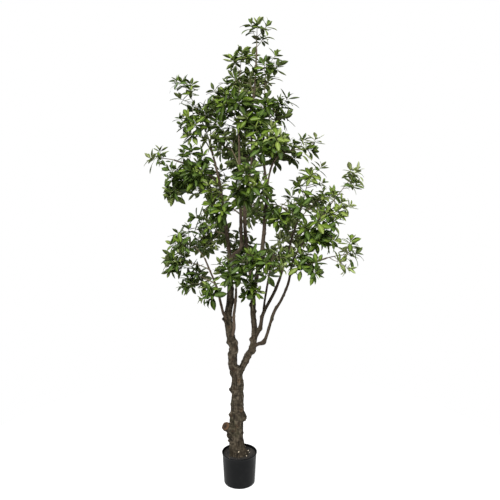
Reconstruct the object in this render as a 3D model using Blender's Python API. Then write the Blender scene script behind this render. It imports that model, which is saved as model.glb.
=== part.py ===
"""A potted artificial pieris tree: a knotty trunk set in a filled black pot, boughs that fork
upwards, and open sprays of narrow leaves held in whorls. Metres, +Z up. The origin is the middle
of the pot's flat underside, and the front of the tree faces -Y."""

import bmesh
import bpy
import math
import random
from mathutils import Vector
from mathutils.bvhtree import BVHTree
from mathutils.kdtree import KDTree

# The gap kept between any two pieces that meet.
GAP = 0.0003

# The pot and what fills it.
POT_HEIGHT = 0.169
POT_RIM_RADIUS = 0.0925
POT_MOUTH_RADIUS = 0.0885
POT_BASE_RADIUS = 0.0815
POT_WALL = 0.0025
POT_FLOOR = 0.004
POT_LIP_DEPTH = 0.007
POT_EDGE_ROUND = 0.006
POT_SIDES = 30
FILL_BELOW_RIM = 0.012
FILL_TOP = POT_HEIGHT - FILL_BELOW_RIM

# Each limb: the limb that it springs from, its number of sides, the spacing of its rings, and
# its route from foot to tip as (right, back, up, diameter).
TRUNK_FOOT = FILL_TOP + GAP
LIMBS = {
    "trunk": (None, 12, 0.023, (
        (-0.007, 0.000, TRUNK_FOOT, 0.082), (-0.016, 0.000, 0.225, 0.072),
        (-0.016, 0.000, 0.315, 0.073), (-0.010, 0.000, 0.400, 0.064),
        (-0.009, 0.000, 0.500, 0.060), (-0.010, 0.000, 0.570, 0.055),
        (-0.013, 0.000, 0.612, 0.063), (-0.012, 0.000, 0.640, 0.047),
        (-0.010, 0.000, 0.652, 0.026))),
    "left_leader": ("trunk", 9, 0.038, (
        (-0.020, 0.000, 0.600, 0.050), (-0.034, 0.000, 0.655, 0.043), (-0.029, 0.005, 0.725, 0.041),
        (-0.042, 0.010, 0.785, 0.043), (-0.054, 0.015, 0.855, 0.040), (-0.055, 0.020, 0.920, 0.038),
        (-0.046, 0.025, 0.985, 0.034), (-0.045, 0.030, 1.190, 0.024))),
    "right_limb": ("trunk", 9, 0.028, (
        (-0.008, 0.000, 0.590, 0.038), (0.014, -0.005, 0.639, 0.034), (0.041, -0.010, 0.688, 0.033),
        (0.070, -0.014, 0.738, 0.031))),
    "middle_stem": ("right_limb", 8, 0.036, (
        (0.066, -0.013, 0.722, 0.030), (0.076, -0.015, 0.781, 0.029), (0.079, -0.015, 0.833, 0.029),
        (0.072, -0.013, 0.930, 0.027), (0.072, -0.005, 1.040, 0.025))),
    "left_bough": ("left_leader", 6, 0.055, (
        (-0.046, 0.033, 1.172, 0.021), (-0.057, 0.050, 1.285, 0.018), (-0.081, 0.080, 1.446, 0.015),
        (-0.101, 0.110, 1.580, 0.013), (-0.156, 0.150, 1.800, 0.009))),
    "inner_bough": ("left_leader", 6, 0.055, (
        (-0.043, 0.027, 1.160, 0.019), (-0.030, -0.005, 1.215, 0.018), (0.010, -0.045, 1.262, 0.017),
        (0.012, -0.062, 1.345, 0.016), (0.007, -0.070, 1.595, 0.012), (0.001, -0.050, 1.882, 0.008))),
    "front_stem": ("left_leader", 6, 0.050, (
        (-0.042, 0.008, 0.785, 0.016), (-0.025, -0.018, 0.840, 0.015), (-0.026, -0.030, 0.911, 0.014),
        (-0.017, -0.055, 0.985, 0.013), (-0.012, -0.090, 1.065, 0.010))),
    "low_left_bough": ("left_leader", 6, 0.050, (
        (-0.056, 0.016, 0.875, 0.017), (-0.079, -0.004, 0.915, 0.014), (-0.094, -0.025, 0.985, 0.012),
        (-0.112, -0.045, 1.065, 0.010), (-0.168, -0.070, 1.214, 0.008))),
    "left_arm": ("left_bough", 5, 0.050, (
        (-0.099, 0.108, 1.560, 0.011), (-0.130, 0.080, 1.600, 0.010), (-0.190, 0.045, 1.645, 0.009),
        (-0.320, 0.000, 1.693, 0.008))),
    "crown_leader": ("middle_stem", 7, 0.060, (
        (0.072, -0.006, 1.025, 0.023), (0.057, 0.010, 1.135, 0.020), (0.035, 0.030, 1.290, 0.019),
        (0.030, 0.045, 1.448, 0.016), (0.048, 0.050, 1.584, 0.013), (0.066, 0.050, 1.720, 0.011),
        (0.062, 0.040, 1.866, 0.010), (0.080, 0.025, 2.060, 0.008), (0.088, 0.020, 2.225, 0.0075))),
    "right_stem": ("middle_stem", 7, 0.055, (
        (0.073, -0.008, 1.015, 0.020), (0.093, -0.050, 1.135, 0.020), (0.116, -0.080, 1.260, 0.019),
        (0.130, -0.098, 1.430, 0.017), (0.138, -0.100, 1.548, 0.014), (0.122, -0.088, 1.690, 0.011),
        (0.122, -0.060, 1.917, 0.008))),
    "right_arm": ("right_stem", 5, 0.045, (
        (0.137, -0.100, 1.560, 0.010), (0.157, -0.080, 1.652, 0.009), (0.185, -0.055, 1.702, 0.0085),
        (0.241, -0.030, 1.735, 0.008))),
    "right_fork": ("middle_stem", 6, 0.046, (
        (0.077, -0.015, 0.790, 0.021), (0.108, -0.018, 0.850, 0.019), (0.125, -0.018, 0.925, 0.017),
        (0.195, 0.030, 1.053, 0.014), (0.253, 0.080, 1.223, 0.011), (0.323, 0.080, 1.467, 0.0085))),
    "back_stem": ("right_fork", 5, 0.045, (
        (0.126, -0.016, 0.925, 0.012), (0.131, 0.025, 0.972, 0.011), (0.160, 0.120, 1.111, 0.010),
        (0.179, 0.170, 1.195, 0.0085))),
    "outer_bough": ("right_limb", 6, 0.042, (
        (0.058, -0.013, 0.726, 0.020), (0.090, -0.036, 0.762, 0.017), (0.126, -0.050, 0.785, 0.017),
        (0.145, -0.050, 0.830, 0.015), (0.175, -0.050, 0.931, 0.015), (0.212, -0.060, 1.000, 0.013),
        (0.246, -0.072, 1.090, 0.012), (0.272, -0.080, 1.215, 0.011), (0.340, -0.070, 1.323, 0.009),
        (0.439, -0.050, 1.459, 0.008))),
    "low_right_bough": ("outer_bough", 5, 0.045, (
        (0.255, -0.076, 1.130, 0.009), (0.295, -0.105, 1.166, 0.009), (0.356, -0.125, 1.196, 0.0085),
        (0.430, -0.120, 1.222, 0.008))),
}

# Lumps of callus on the bark of a limb, as (height, bearing in degrees from +X, spread, rise).
KNOTS = {
    "trunk": (
        (0.508, 180, 0.017, 0.011), (0.536, -5, 0.018, 0.006), (0.410, -60, 0.014, 0.006),
        (0.357, -8, 0.019, 0.013), (0.376, 185, 0.014, 0.006), (0.431, 178, 0.014, 0.005),
        (0.268, 205, 0.020, 0.016), (0.604, 180, 0.022, 0.006), (0.470, 100, 0.015, 0.008),
        (0.260, 60, 0.020, 0.007)),
    "left_leader": (
        (0.700, 180, 0.018, 0.007), (0.760, 185, 0.013, 0.009), (0.766, 0, 0.013, 0.006),
        (0.883, 180, 0.012, 0.014), (0.975, 10, 0.015, 0.006)),
    "middle_stem": ((0.784, 180, 0.012, 0.008), (0.963, 180, 0.012, 0.008)),
    "outer_bough": ((0.775, -20, 0.012, 0.007),),
}
# The roots that buttress the trunk's foot: bearing, and how far each stands out.
ROOTS = ((-15, 0.014), (110, 0.008), (215, 0.010))
ROOT_HEIGHT = 0.022
ROOT_HALF_ANGLE = 34

# A sawn branch stub low on the trunk's left.
STUB_ROOT = Vector((-0.024, -0.004, 0.282))
STUB_TIP = Vector((-0.070, -0.034, 0.324))
STUB_ROOT_RADIUS = 0.025
STUB_TIP_RADIUS = 0.018

# The slow waver of a limb's bark, as a share of its radius.
WAVER = 0.06

# Foliage. A mass is a stem from a limb, twigs set round the stem, and leaves in whorls. The
# leaves are fewer and larger than life, so that a few hundred fill the crown.
LEAF_SHARE = 0.92
LEAF_SLENDERNESS = 0.43
LEAF_THICKNESS = 0.0022
LEAF_ARCH = 0.07
LEAF_DROOP = 0.10
STALK_DEPTH = 0.0020
LEAF_SIZES = (1.0, 0.86, 0.72)
STEM_RADIUS = 0.0044
STEM_SHARE_OF_LIMB = 0.72
TWIG_ROOT_RADIUS = 0.0017
TWIG_RADIUS = 0.0024
TIP_RADIUS = 0.0023
STEM_SPACING = 0.070
# A whorl is two rings of three leaves, one leaf to each side of a three-sided twig. Each ring:
# its distance below the twig's tip, its leaves' least and greatest lean, and their turn, in degrees.
WHORL_RINGS = ((0.005, 38, 55, 18), (0.014, 66, 88, -18))
LEAVES_IN_RING = 3
TWIG_PLACES = (0.72, 0.40)
TWIG_TRIES = 9
CELL_MARGIN = 0.0015
LIMB_CLEARANCE = 0.004
LEAF_CLEARANCE = 0.0025

# Each mass: the limb that bears it, how far along that limb its stem leaves (1 is the tip), the
# middle of the space it fills as (right, back, up), and that space's radius.
MASSES = (
    ("crown_leader", 1.00, (0.090, 0.020, 2.325), 0.100),
    ("inner_bough", 1.00, (0.015, 0.050, 2.205), 0.105),
    ("inner_bough", 0.93, (-0.055, -0.130, 1.975), 0.130),
    ("crown_leader", 0.80, (0.050, 0.130, 2.100), 0.130),
    ("right_stem", 1.00, (0.135, -0.040, 2.135), 0.105),
    ("right_stem", 0.92, (0.210, 0.020, 1.945), 0.105),
    ("right_stem", 0.80, (0.145, -0.150, 1.775), 0.125),
    ("crown_leader", 0.72, (0.085, -0.080, 1.905), 0.120),
    ("left_bough", 1.00, (-0.275, 0.100, 2.065), 0.100),
    ("left_bough", 0.88, (-0.235, 0.010, 1.885), 0.115),
    ("left_bough", 0.94, (-0.140, 0.180, 1.960), 0.130),
    ("inner_bough", 0.70, (-0.075, 0.060, 1.800), 0.140),
    ("right_arm", 1.00, (0.345, -0.020, 1.740), 0.095),
    ("right_arm", 0.60, (0.220, 0.090, 1.740), 0.120),
    ("left_arm", 1.00, (-0.420, 0.000, 1.700), 0.085),
    ("left_arm", 0.55, (-0.235, -0.110, 1.655), 0.130),
    ("left_arm", 0.72, (-0.310, -0.020, 1.555), 0.105),
    ("left_bough", 0.48, (-0.190, 0.200, 1.590), 0.140),
    ("inner_bough", 0.52, (0.060, -0.260, 1.565), 0.135),
    ("inner_bough", 0.40, (-0.115, -0.190, 1.480), 0.140),
    ("crown_leader", 0.52, (0.000, 0.280, 1.740), 0.145),
    ("right_fork", 1.00, (0.355, 0.060, 1.615), 0.110),
    ("outer_bough", 1.00, (0.570, -0.030, 1.625), 0.098),
    ("right_stem", 0.52, (0.250, -0.170, 1.435), 0.120),
    ("right_fork", 0.86, (0.415, 0.150, 1.490), 0.120),
    ("outer_bough", 0.92, (0.480, -0.110, 1.480), 0.105),
    ("outer_bough", 0.80, (0.400, -0.160, 1.360), 0.115),
    ("right_fork", 0.68, (0.285, 0.220, 1.320), 0.135),
    ("low_left_bough", 1.00, (-0.280, -0.100, 1.325), 0.115),
    ("left_bough", 0.22, (-0.160, 0.140, 1.310), 0.140),
    ("low_left_bough", 0.82, (-0.335, -0.020, 1.190), 0.097),
    ("low_left_bough", 0.60, (-0.240, 0.040, 1.105), 0.105),
    ("low_left_bough", 0.42, (-0.130, -0.100, 1.035), 0.078),
    ("front_stem", 1.00, (-0.045, -0.205, 1.175), 0.130),
    ("right_stem", 0.24, (0.130, -0.230, 1.215), 0.125),
    ("middle_stem", 0.60, (0.060, -0.115, 1.085), 0.085),
    ("back_stem", 1.00, (0.195, 0.270, 1.150), 0.130),
    ("low_right_bough", 0.35, (0.320, -0.170, 1.200), 0.100),
    ("low_right_bough", 1.00, (0.550, -0.130, 1.240), 0.115),
    ("left_leader", 0.86, (0.010, 0.260, 1.215), 0.140),
    ("crown_leader", 0.34, (0.090, 0.280, 1.440), 0.135),
)


def clear_scene():
    for item in list(bpy.data.objects):
        bpy.data.objects.remove(item)


def make_material(name, colour, roughness):
    """A Principled material in one colour."""
    material = bpy.data.materials.new(name)
    material.use_nodes = True
    shader = material.node_tree.nodes["Principled BSDF"]
    shader.inputs["Base Color"].default_value = (*colour, 1.0)
    shader.inputs["Roughness"].default_value = roughness
    shader.inputs["Metallic"].default_value = 0.0
    return material


def object_from(build, name, material, collection=None):
    """A named object from a bmesh, with its faces pointing outwards."""
    bmesh.ops.recalc_face_normals(build, faces=build.faces)
    mesh = bpy.data.meshes.new(name)
    build.to_mesh(mesh)
    build.free()
    mesh.materials.append(material)
    made = bpy.data.objects.new(name, mesh)
    (collection or bpy.context.scene.collection).objects.link(made)
    return made


def applied(thing):
    """The object with its modifiers applied to its mesh."""
    graph = bpy.context.evaluated_depsgraph_get()
    graph.update()
    mesh = bpy.data.meshes.new_from_object(thing.evaluated_get(graph))
    thing.modifiers.clear()
    thing.data = mesh
    return thing


def turned(profile, sides):
    """A bmesh of the closed solid that a profile of (radius, height) sweeps round Z. The profile
    starts and ends on the axis."""
    build = bmesh.new()
    points = [build.verts.new((radius, 0.0, height)) for radius, height in profile]
    edges = [build.edges.new(pair) for pair in zip(points, points[1:])]
    bmesh.ops.spin(build, geom=points + edges, cent=(0, 0, 0), axis=(0, 0, 1),
                   angle=2 * math.pi, steps=sides, use_merge=False)
    bmesh.ops.remove_doubles(build, verts=build.verts, dist=1e-5)
    return build


def make_pot(material):
    """A thin moulded pot: a tapering wall with a rolled lip, a rounded foot and a flat underside."""
    taper = (POT_MOUTH_RADIUS - POT_BASE_RADIUS) / POT_HEIGHT
    lip_foot = POT_HEIGHT - POT_LIP_DEPTH
    profile = [
        (0.0, 0.0),
        (POT_BASE_RADIUS - POT_EDGE_ROUND, 0.0),
        (POT_BASE_RADIUS - 0.3 * POT_EDGE_ROUND, 0.3 * POT_EDGE_ROUND),
        (POT_BASE_RADIUS, POT_EDGE_ROUND),
        (POT_BASE_RADIUS + taper * lip_foot, lip_foot),
        (POT_RIM_RADIUS, lip_foot + 0.002),
        (POT_RIM_RADIUS, POT_HEIGHT - 0.001),
        (POT_RIM_RADIUS - 0.001, POT_HEIGHT),
        (POT_MOUTH_RADIUS - POT_WALL, POT_HEIGHT),
        (POT_BASE_RADIUS - POT_WALL, POT_FLOOR),
        (0.0, POT_FLOOR),
    ]
    pot = object_from(turned(profile, POT_SIDES), "pot", material)
    pot.data.shade_smooth()
    pot.data.set_sharp_from_angle(angle=math.radians(35))
    return pot


def make_fill(material):
    """The set filling that holds the trunk, in a slight dish inside the pot's wall."""
    inner_taper = (POT_MOUTH_RADIUS - POT_BASE_RADIUS) / (POT_HEIGHT - POT_FLOOR)
    inner_foot = POT_BASE_RADIUS - POT_WALL - 2 * GAP
    profile = [
        (0.0, POT_FLOOR + GAP),
        (inner_foot, POT_FLOOR + GAP),
        (inner_foot + inner_taper * (FILL_TOP - POT_FLOOR), FILL_TOP - 0.003),
        (POT_MOUTH_RADIUS - 0.012, FILL_TOP),
        (0.0, FILL_TOP),
    ]
    return object_from(turned(profile, 24), "pot_fill", material)


def spline_point(a, b, c, d, share):
    """A point between b and c on the Catmull-Rom curve through a, b, c and d."""
    square, cube = share * share, share ** 3
    return [0.5 * (2 * q + (r - p) * share + (2 * p - 5 * q + 4 * r - s) * square
                   + (3 * q - p - 3 * r + s) * cube) for p, q, r, s in zip(a, b, c, d)]


def smooth_route(points, spacing):
    """Evenly spaced (centre, radius) along a smooth curve through points of (x, y, z, diameter)."""
    ends = [points[0], *points, points[-1]]
    fine = []
    for four in zip(ends, ends[1:], ends[2:], ends[3:]):
        fine += [spline_point(*four, step / 12) for step in range(12)]
    fine.append(list(points[-1]))
    travelled = [0.0]
    for before, after in zip(fine, fine[1:]):
        travelled.append(travelled[-1] + (Vector(after[:3]) - Vector(before[:3])).length)
    count = max(2, round(travelled[-1] / spacing))
    route, at = [], 0
    for step in range(count + 1):
        goal = travelled[-1] * step / count
        while at < len(fine) - 2 and travelled[at + 1] < goal:
            at += 1
        share = (goal - travelled[at]) / max(1e-9, travelled[at + 1] - travelled[at])
        blend = [p + (q - p) * min(1.0, share) for p, q in zip(fine[at], fine[at + 1])]
        route.append((Vector(blend[:3]), blend[3] / 2))
    return route


def frames_along(route):
    """For each point of a route, its tangent and two directions across it that turn as little as
    they can."""
    centres = [centre for centre, radius in route]
    tangents = []
    for index in range(len(centres)):
        before, after = centres[max(0, index - 1)], centres[min(len(centres) - 1, index + 1)]
        tangents.append((after - before).normalized())
    across = Vector((1, 0, 0)) if abs(tangents[0].x) < 0.9 else Vector((0, 1, 0))
    frames = []
    for tangent in tangents:
        across = (across - tangent * across.dot(tangent)).normalized()
        frames.append((tangent, across, tangent.cross(across)))
    return frames


def bark_radius(name, centre, radius, outward, distance):
    """A limb's radius in one direction at one place, with its waver, knots and roots."""
    bearing = math.atan2(outward.y, outward.x)
    phase = len(name)
    waver = (math.sin(38 * distance + 2 * bearing + phase)
             + 0.6 * math.sin(71 * distance - 3 * bearing + 2 * phase))
    size = radius * (1 + WAVER * waver * 0.6)
    surface = centre + outward * radius
    for height, angle, spread, rise in KNOTS.get(name, ()):
        turn = math.remainder(bearing - math.radians(angle), 2 * math.pi) * radius
        far = (surface.z - height) ** 2 + turn ** 2
        size += rise * math.exp(-far / (2 * (0.8 * spread) ** 2))
    if name == "trunk":
        fade = math.exp(-(centre.z - TRUNK_FOOT) / ROOT_HEIGHT)
        for angle, reach in ROOTS:
            turn = math.remainder(bearing - math.radians(angle), 2 * math.pi)
            size += reach * fade * math.exp(-(turn / math.radians(ROOT_HALF_ANGLE)) ** 2)
    return size


def tube(route, sides, radius_at=None, grow=0.0):
    """A closed bmesh tube round a route, with flat ends. radius_at(index, outward) shapes it, and
    grow makes it larger all over, ends included. Only a shaped tube is split into triangles, so
    that its grown copy bends along the same lines."""
    route = list(route)
    frames = frames_along(route)
    build = bmesh.new()
    rings = []
    for index, ((centre, radius), (tangent, across, over)) in enumerate(zip(route, frames)):
        if index == 0:
            centre = centre - tangent * grow
        if index == len(route) - 1:
            centre = centre + tangent * grow
        ring = []
        for side in range(sides):
            turn = 2 * math.pi * (side + 0.5) / sides
            outward = across * math.cos(turn) + over * math.sin(turn)
            size = radius_at(index, outward) if radius_at else radius
            ring.append(build.verts.new(centre + outward * (size + grow)))
        rings.append(ring)
    for low, high in zip(rings, rings[1:]):
        for side in range(sides):
            after = (side + 1) % sides
            if radius_at:
                build.faces.new((low[side], low[after], high[after]))
                build.faces.new((low[side], high[after], high[side]))
            else:
                build.faces.new((low[side], low[after], high[after], high[side]))
    build.faces.new(rings[0][::-1])
    build.faces.new(rings[-1])
    return build


def limb_tube(name, grow=0.0):
    """The bmesh of one limb, or of the same limb grown all over."""
    sides = LIMBS[name][1]
    route = ROUTES[name]
    distances = [0.0]
    for (before, _), (after, _) in zip(route, route[1:]):
        distances.append(distances[-1] + (after - before).length)

    def radius_at(index, outward):
        centre, radius = route[index]
        return bark_radius(name, centre, radius, outward, distances[index])

    return tube(route, sides, radius_at, grow)


def add_boolean(thing, operation, other, solver="EXACT"):
    modifier = thing.modifiers.new(operation.lower(), "BOOLEAN")
    modifier.operation = operation
    modifier.solver = solver
    if isinstance(other, bpy.types.Collection):
        modifier.operand_type = "COLLECTION"
        modifier.collection = other
    else:
        modifier.object = other


def remove_all(things):
    for thing in things:
        bpy.data.objects.remove(thing)


def stub_tube(grow=0.0):
    """The sawn stub, or the same stub grown all over."""
    route = [(STUB_ROOT.lerp(STUB_TIP, share),
              STUB_ROOT_RADIUS + (STUB_TIP_RADIUS - STUB_ROOT_RADIUS) * share)
             for share in (0.0, 0.35, 0.7, 1.0)]
    return tube(route, 10, None, grow)


def make_trunk(material):
    """The trunk with its sawn stub, from a flat cut at the filling to the fork."""
    trunk = object_from(limb_tube("trunk"), "trunk", material)
    foot = [vertex for vertex in trunk.data.vertices if vertex.index < LIMBS["trunk"][1]]
    for vertex in foot:
        vertex.co.z = TRUNK_FOOT
    stub = object_from(stub_tube(), "stub", material)
    add_boolean(trunk, "UNION", stub)
    applied(trunk)
    remove_all([stub])
    return trunk


def make_boughs(material):
    """Every limb after the trunk, each cut clear of the limbs that it springs from or beside."""
    made = []
    for name, (parent, sides, spacing, points) in LIMBS.items():
        if parent is None:
            made.append(name)
            continue
        bough = object_from(limb_tube(name), name, material)
        near = [other for other in made if other == parent or LIMBS[other][0] == parent]
        cutters = [object_from(limb_tube(other, GAP), "cutter", material) for other in near]
        for cutter in cutters:
            add_boolean(bough, "DIFFERENCE", cutter)
        applied(bough)
        remove_all(cutters)
        made.append(name)


def along_route(route, share):
    """The place, radius and direction at a share of the way along a route."""
    place = share * (len(route) - 1)
    low = min(int(place), len(route) - 2)
    (start, thick), (end, thin) = route[low], route[low + 1]
    part = place - low
    return start.lerp(end, part), thick + (thin - thick) * part, (end - start).normalized()


def stem_route(host, share, centre, reach):
    """The stem of a mass: out of its limb, which is always the thicker, to the middle of its
    space."""
    seat, thickness, growth = along_route(ROUTES[host], share)
    middle = Vector(centre)
    heading = (middle - seat).normalized()
    if share >= 1.0:
        start = seat - growth * 0.006
        lead = (growth * 0.7 + heading * 0.3).normalized()
    else:
        start = seat
        lead = (heading + growth * 0.5).normalized()
    goal = middle + heading * reach * 0.15
    run = (goal - start).length
    bend = start + lead * run * 0.45
    foot = min(STEM_RADIUS, STEM_SHARE_OF_LIMB * thickness)
    steps = max(3, round(run / STEM_SPACING))
    points = []
    for step in range(steps + 1):
        t = step / steps
        place = start * (1 - t) ** 2 + bend * 2 * t * (1 - t) + goal * t * t
        points.append((place, foot + (TIP_RADIUS - foot) * t))
    return points


class Space:
    """The space that one mass keeps to: a ball, cut where it meets its neighbours' balls, less the
    limbs and the other masses' stems."""

    def __init__(self, index, obstacles):
        self.index = index
        self.centre = Vector(MASSES[index][2])
        self.reach = MASSES[index][3]
        self.rivals = []
        for other, mass in enumerate(MASSES):
            centre, reach = Vector(mass[2]), mass[3]
            apart = (centre - self.centre).length
            if other != index and apart < reach + self.reach + 0.02:
                level = ((centre.length_squared - reach ** 2)
                         - (self.centre.length_squared - self.reach ** 2)) / (2 * apart)
                self.rivals.append(((centre - self.centre) / apart, level))
        self.obstacles = [item for item in obstacles if item[0] != index]
        self.tree = KDTree(len(self.obstacles))
        for number, (owner, place, radius) in enumerate(self.obstacles):
            self.tree.insert(place, number)
        self.tree.balance()

    def holds(self, point, thickness):
        """Whether a ball of this thickness at the point is inside the space and touches nothing."""
        if (point - self.centre).length > self.reach - thickness:
            return False
        if any(point.dot(way) > level - CELL_MARGIN - thickness for way, level in self.rivals):
            return False
        for place, number, far in self.tree.find_range(point, thickness + 0.06):
            if far < thickness + self.obstacles[number][2]:
                return False
        return True


def obstacle_points():
    """Balls along every limb and every stem: (owner, place, radius). A limb's owner is None."""
    found = []
    for name in LIMBS:
        for (start, thick), (end, thin) in zip(ROUTES[name], ROUTES[name][1:]):
            steps = max(2, math.ceil((end - start).length / 0.006))
            for step in range(steps + 1):
                share = step / steps
                radius = thick + (thin - thick) * share
                rise = max((knot[3] for knot in KNOTS.get(name, ())), default=0.0)
                found.append((None, start.lerp(end, share), radius * 1.1 + rise + LIMB_CLEARANCE))
    for index, stem in enumerate(STEMS):
        for (start, thick), (end, thin) in zip(stem, stem[1:]):
            steps = max(2, math.ceil((end - start).length / 0.005))
            for step in range(steps + 1):
                found.append((index, start.lerp(end, step / steps), thick + 0.003))
    return found


def leaf_solid(root, along, side, length, width):
    """One leaf of 8 faces: a stalk that stands on edge inside its twig, and a blade that widens to
    its middle, arches, and droops to a point."""
    upper = along.cross(side).normalized()
    middle = root + along * 0.5 * length + upper * LEAF_ARCH * length
    corners = [
        root + upper * STALK_DEPTH / 2,
        root - upper * STALK_DEPTH / 2,
        middle - side * width / 2,
        middle + side * width / 2,
        middle - upper * LEAF_THICKNESS,
        root + along * length - upper * LEAF_DROOP * length,
    ]
    faces = ((0, 3, 2), (2, 3, 5), (0, 2, 1), (0, 1, 3), (1, 2, 4), (1, 4, 3), (4, 2, 5), (4, 5, 3))
    return corners, faces


def blade_of(leaf):
    """The same leaf without the stretch of stalk beside its twig."""
    corners, faces = leaf
    top, under, left, right, keel, tip = corners
    return [top.lerp(tip, 0.09), under.lerp(tip, 0.09), left, right, keel, tip], faces


def tree_of(solids):
    """A search tree over the triangles of (corners, faces) solids."""
    corners, faces = [], []
    for solid_corners, solid_faces in solids:
        faces += [[corner + len(corners) for corner in face] for face in solid_faces]
        corners += solid_corners
    return BVHTree.FromPolygons(corners, faces, all_triangles=True, epsilon=0.0004)


def tube_solid(route):
    """The corners and triangles of a three-sided tube."""
    build = tube(route, 3)
    bmesh.ops.triangulate(build, faces=build.faces)
    build.verts.index_update()
    solid = ([vertex.co.copy() for vertex in build.verts],
             [[vertex.index for vertex in face.verts] for face in build.faces])
    build.free()
    return solid


def leaf_fits(space, leaf, leaves, twigs):
    """Whether a leaf's blade is inside the space and touches no limb, twig or other leaf."""
    blade = blade_of(leaf)
    top, under, left, right, keel, tip = blade[0]
    for share in (0.3, 0.65, 1.0):
        for corner in (left, right, tip):
            if not space.holds(top.lerp(corner, share), LEAF_CLEARANCE):
                return False
    for share in (0.25, 0.5, 0.75):
        for start, end in ((left, tip), (right, tip), (left, right)):
            if not space.holds(start.lerp(end, share), LEAF_CLEARANCE):
                return False
    shape = tree_of([blade])
    return not shape.overlap(tree_of(twigs)) and not (leaves and shape.overlap(tree_of(leaves)))


def whorl(space, route, leaves, twigs, chance):
    """The leaves at a twig's tip, each made smaller or left out where it doesn't fit."""
    axis, across, over = frames_along(route)[-1]
    tip = route[-1][0]
    placed = []
    for below, least_lean, most_lean, turn in WHORL_RINGS:
        for number in range(LEAVES_IN_RING):
            angle = 2 * math.pi * number / 3 + math.radians(turn + chance.uniform(-5, 5))
            outward = across * math.cos(angle) + over * math.sin(angle)
            lean = math.radians(chance.uniform(least_lean, most_lean))
            along = axis * math.cos(lean) + outward * math.sin(lean)
            root = tip - axis * (below + 0.0004 * number)
            length = LEAF_SHARE * space.reach * chance.uniform(0.9, 1.05)
            for size in LEAF_SIZES:
                leaf = leaf_solid(root, along, axis.cross(outward), length * size,
                                  LEAF_SLENDERNESS * length * size)
                if leaf_fits(space, leaf, leaves + placed, twigs):
                    placed.append(leaf)
                    break
    return placed


def twig_route(space, stem, share, side, chance):
    """A twig from one side of a stem, curving towards the light."""
    start, thickness, axis = along_route(stem, share)
    tangent, across, over = frames_along(stem)[min(int(share * (len(stem) - 1)), len(stem) - 2)]
    angle = 2 * math.pi * side / 3 + chance.uniform(-0.25, 0.25)
    outward = across * math.cos(angle) + over * math.sin(angle)
    heading = (outward + axis * chance.uniform(0.3, 0.7)).normalized()
    length = space.reach * chance.uniform(0.42, 0.66)
    bend = start + heading * length * 0.5
    lift = Vector((0, 0, chance.uniform(0.1, 0.5)))
    end = bend + (heading + lift).normalized() * length * 0.5
    return [(start, TWIG_ROOT_RADIUS), (bend, TWIG_RADIUS), (end, TIP_RADIUS)]


def twig_fits(space, route, leaves):
    start = route[0][0]
    for (low, _), (high, _) in zip(route, route[1:]):
        for share in (0.35, 0.7, 1.0):
            point = low.lerp(high, share)
            if (point - start).length > 0.012 and not space.holds(point, 0.004):
                return False
    return not (leaves and tree_of([tube_solid(route)]).overlap(tree_of(leaves)))


def entry_share(stem, space):
    """How far along its stem a mass's space begins."""
    for step in range(41):
        if (along_route(stem, step / 40)[0] - space.centre).length < space.reach:
            return step / 40
    return 1.0


def mass_name(index):
    host = MASSES[index][0]
    return "leaves_" + host + "_" + str(1 + sum(mass[0] == host for mass in MASSES[:index]))


def grow_mass(index, space):
    """The twigs and leaves of one mass. Each twig is the leafiest of a few tries."""
    chance = random.Random(100 + index)
    stem = STEMS[index]
    routes, twigs = [], [tube_solid(stem)]
    leaves = whorl(space, stem, [], twigs, chance)
    first = entry_share(stem, space)
    used = None
    for share in TWIG_PLACES:
        best = None
        for attempt in range(TWIG_TRIES):
            side = attempt % 3
            place = first + (1 - first) * (share + chance.uniform(-0.12, 0.12))
            route = twig_route(space, stem, place, side, chance)
            if side == used or not twig_fits(space, route, leaves):
                continue
            found = whorl(space, route, leaves, twigs + [tube_solid(route)], chance)
            if len(found) >= 3 and (best is None or len(found) > len(best[1])):
                best = (route, found, side)
        if best:
            routes.append(best[0])
            twigs.append(tube_solid(best[0]))
            leaves += best[1]
            used = best[2]
    return routes, leaves


def make_mass(index, material, space):
    """One mass of foliage as one solid: stem, twigs and leaves fused, cut clear of its limb."""
    name = mass_name(index)
    routes, leaves = grow_mass(index, space)
    mass = object_from(tube(STEMS[index], 3), name, material)
    pieces = bpy.data.collections.new(name + "_pieces")
    bpy.context.scene.collection.children.link(pieces)
    for route in routes:
        object_from(tube(route, 3), "twig", material, pieces)
    for corners, faces in leaves:
        build = bmesh.new()
        vertices = [build.verts.new(corner) for corner in corners]
        for face in faces:
            build.faces.new([vertices[corner] for corner in face])
        object_from(build, "leaf", material, pieces)
    add_boolean(mass, "UNION", pieces)
    cutter = object_from(limb_tube(MASSES[index][0], GAP), "cutter", material)
    add_boolean(mass, "DIFFERENCE", cutter)
    applied(mass)
    remove_all([cutter, *pieces.objects])
    bpy.data.collections.remove(pieces)
    return len(leaves)


clear_scene()
pot_plastic = make_material("pot_plastic", (0.012, 0.013, 0.014), 0.42)
fill_plaster = make_material("fill", (0.02, 0.017, 0.014), 0.9)
bark = make_material("bark", (0.13, 0.10, 0.07), 0.85)
foliage = make_material("foliage", (0.06, 0.13, 0.03), 0.5)

ROUTES = {name: smooth_route(limb[3], limb[2]) for name, limb in LIMBS.items()}
STEMS = [stem_route(*mass) for mass in MASSES]

make_pot(pot_plastic)
make_fill(fill_plaster)
make_trunk(bark)
make_boughs(bark)
blocked = obstacle_points()
leaf_count = sum(make_mass(index, foliage, Space(index, blocked)) for index in range(len(MASSES)))
print("leaves:", leaf_count)
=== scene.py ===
"""The looks of a potted artificial pieris: a black nursery pot, its cast filling, a knotty trunk
with its boughs, and open sprays of narrow leaves held in whorls."""

import bmesh
import bpy
import random
from math import atan2, ceil, cos, exp, hypot, pi, radians, remainder, sin, sqrt, tan
from mathutils import Matrix, Vector
from mathutils.kdtree import KDTree
from mathutils.noise import noise


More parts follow.
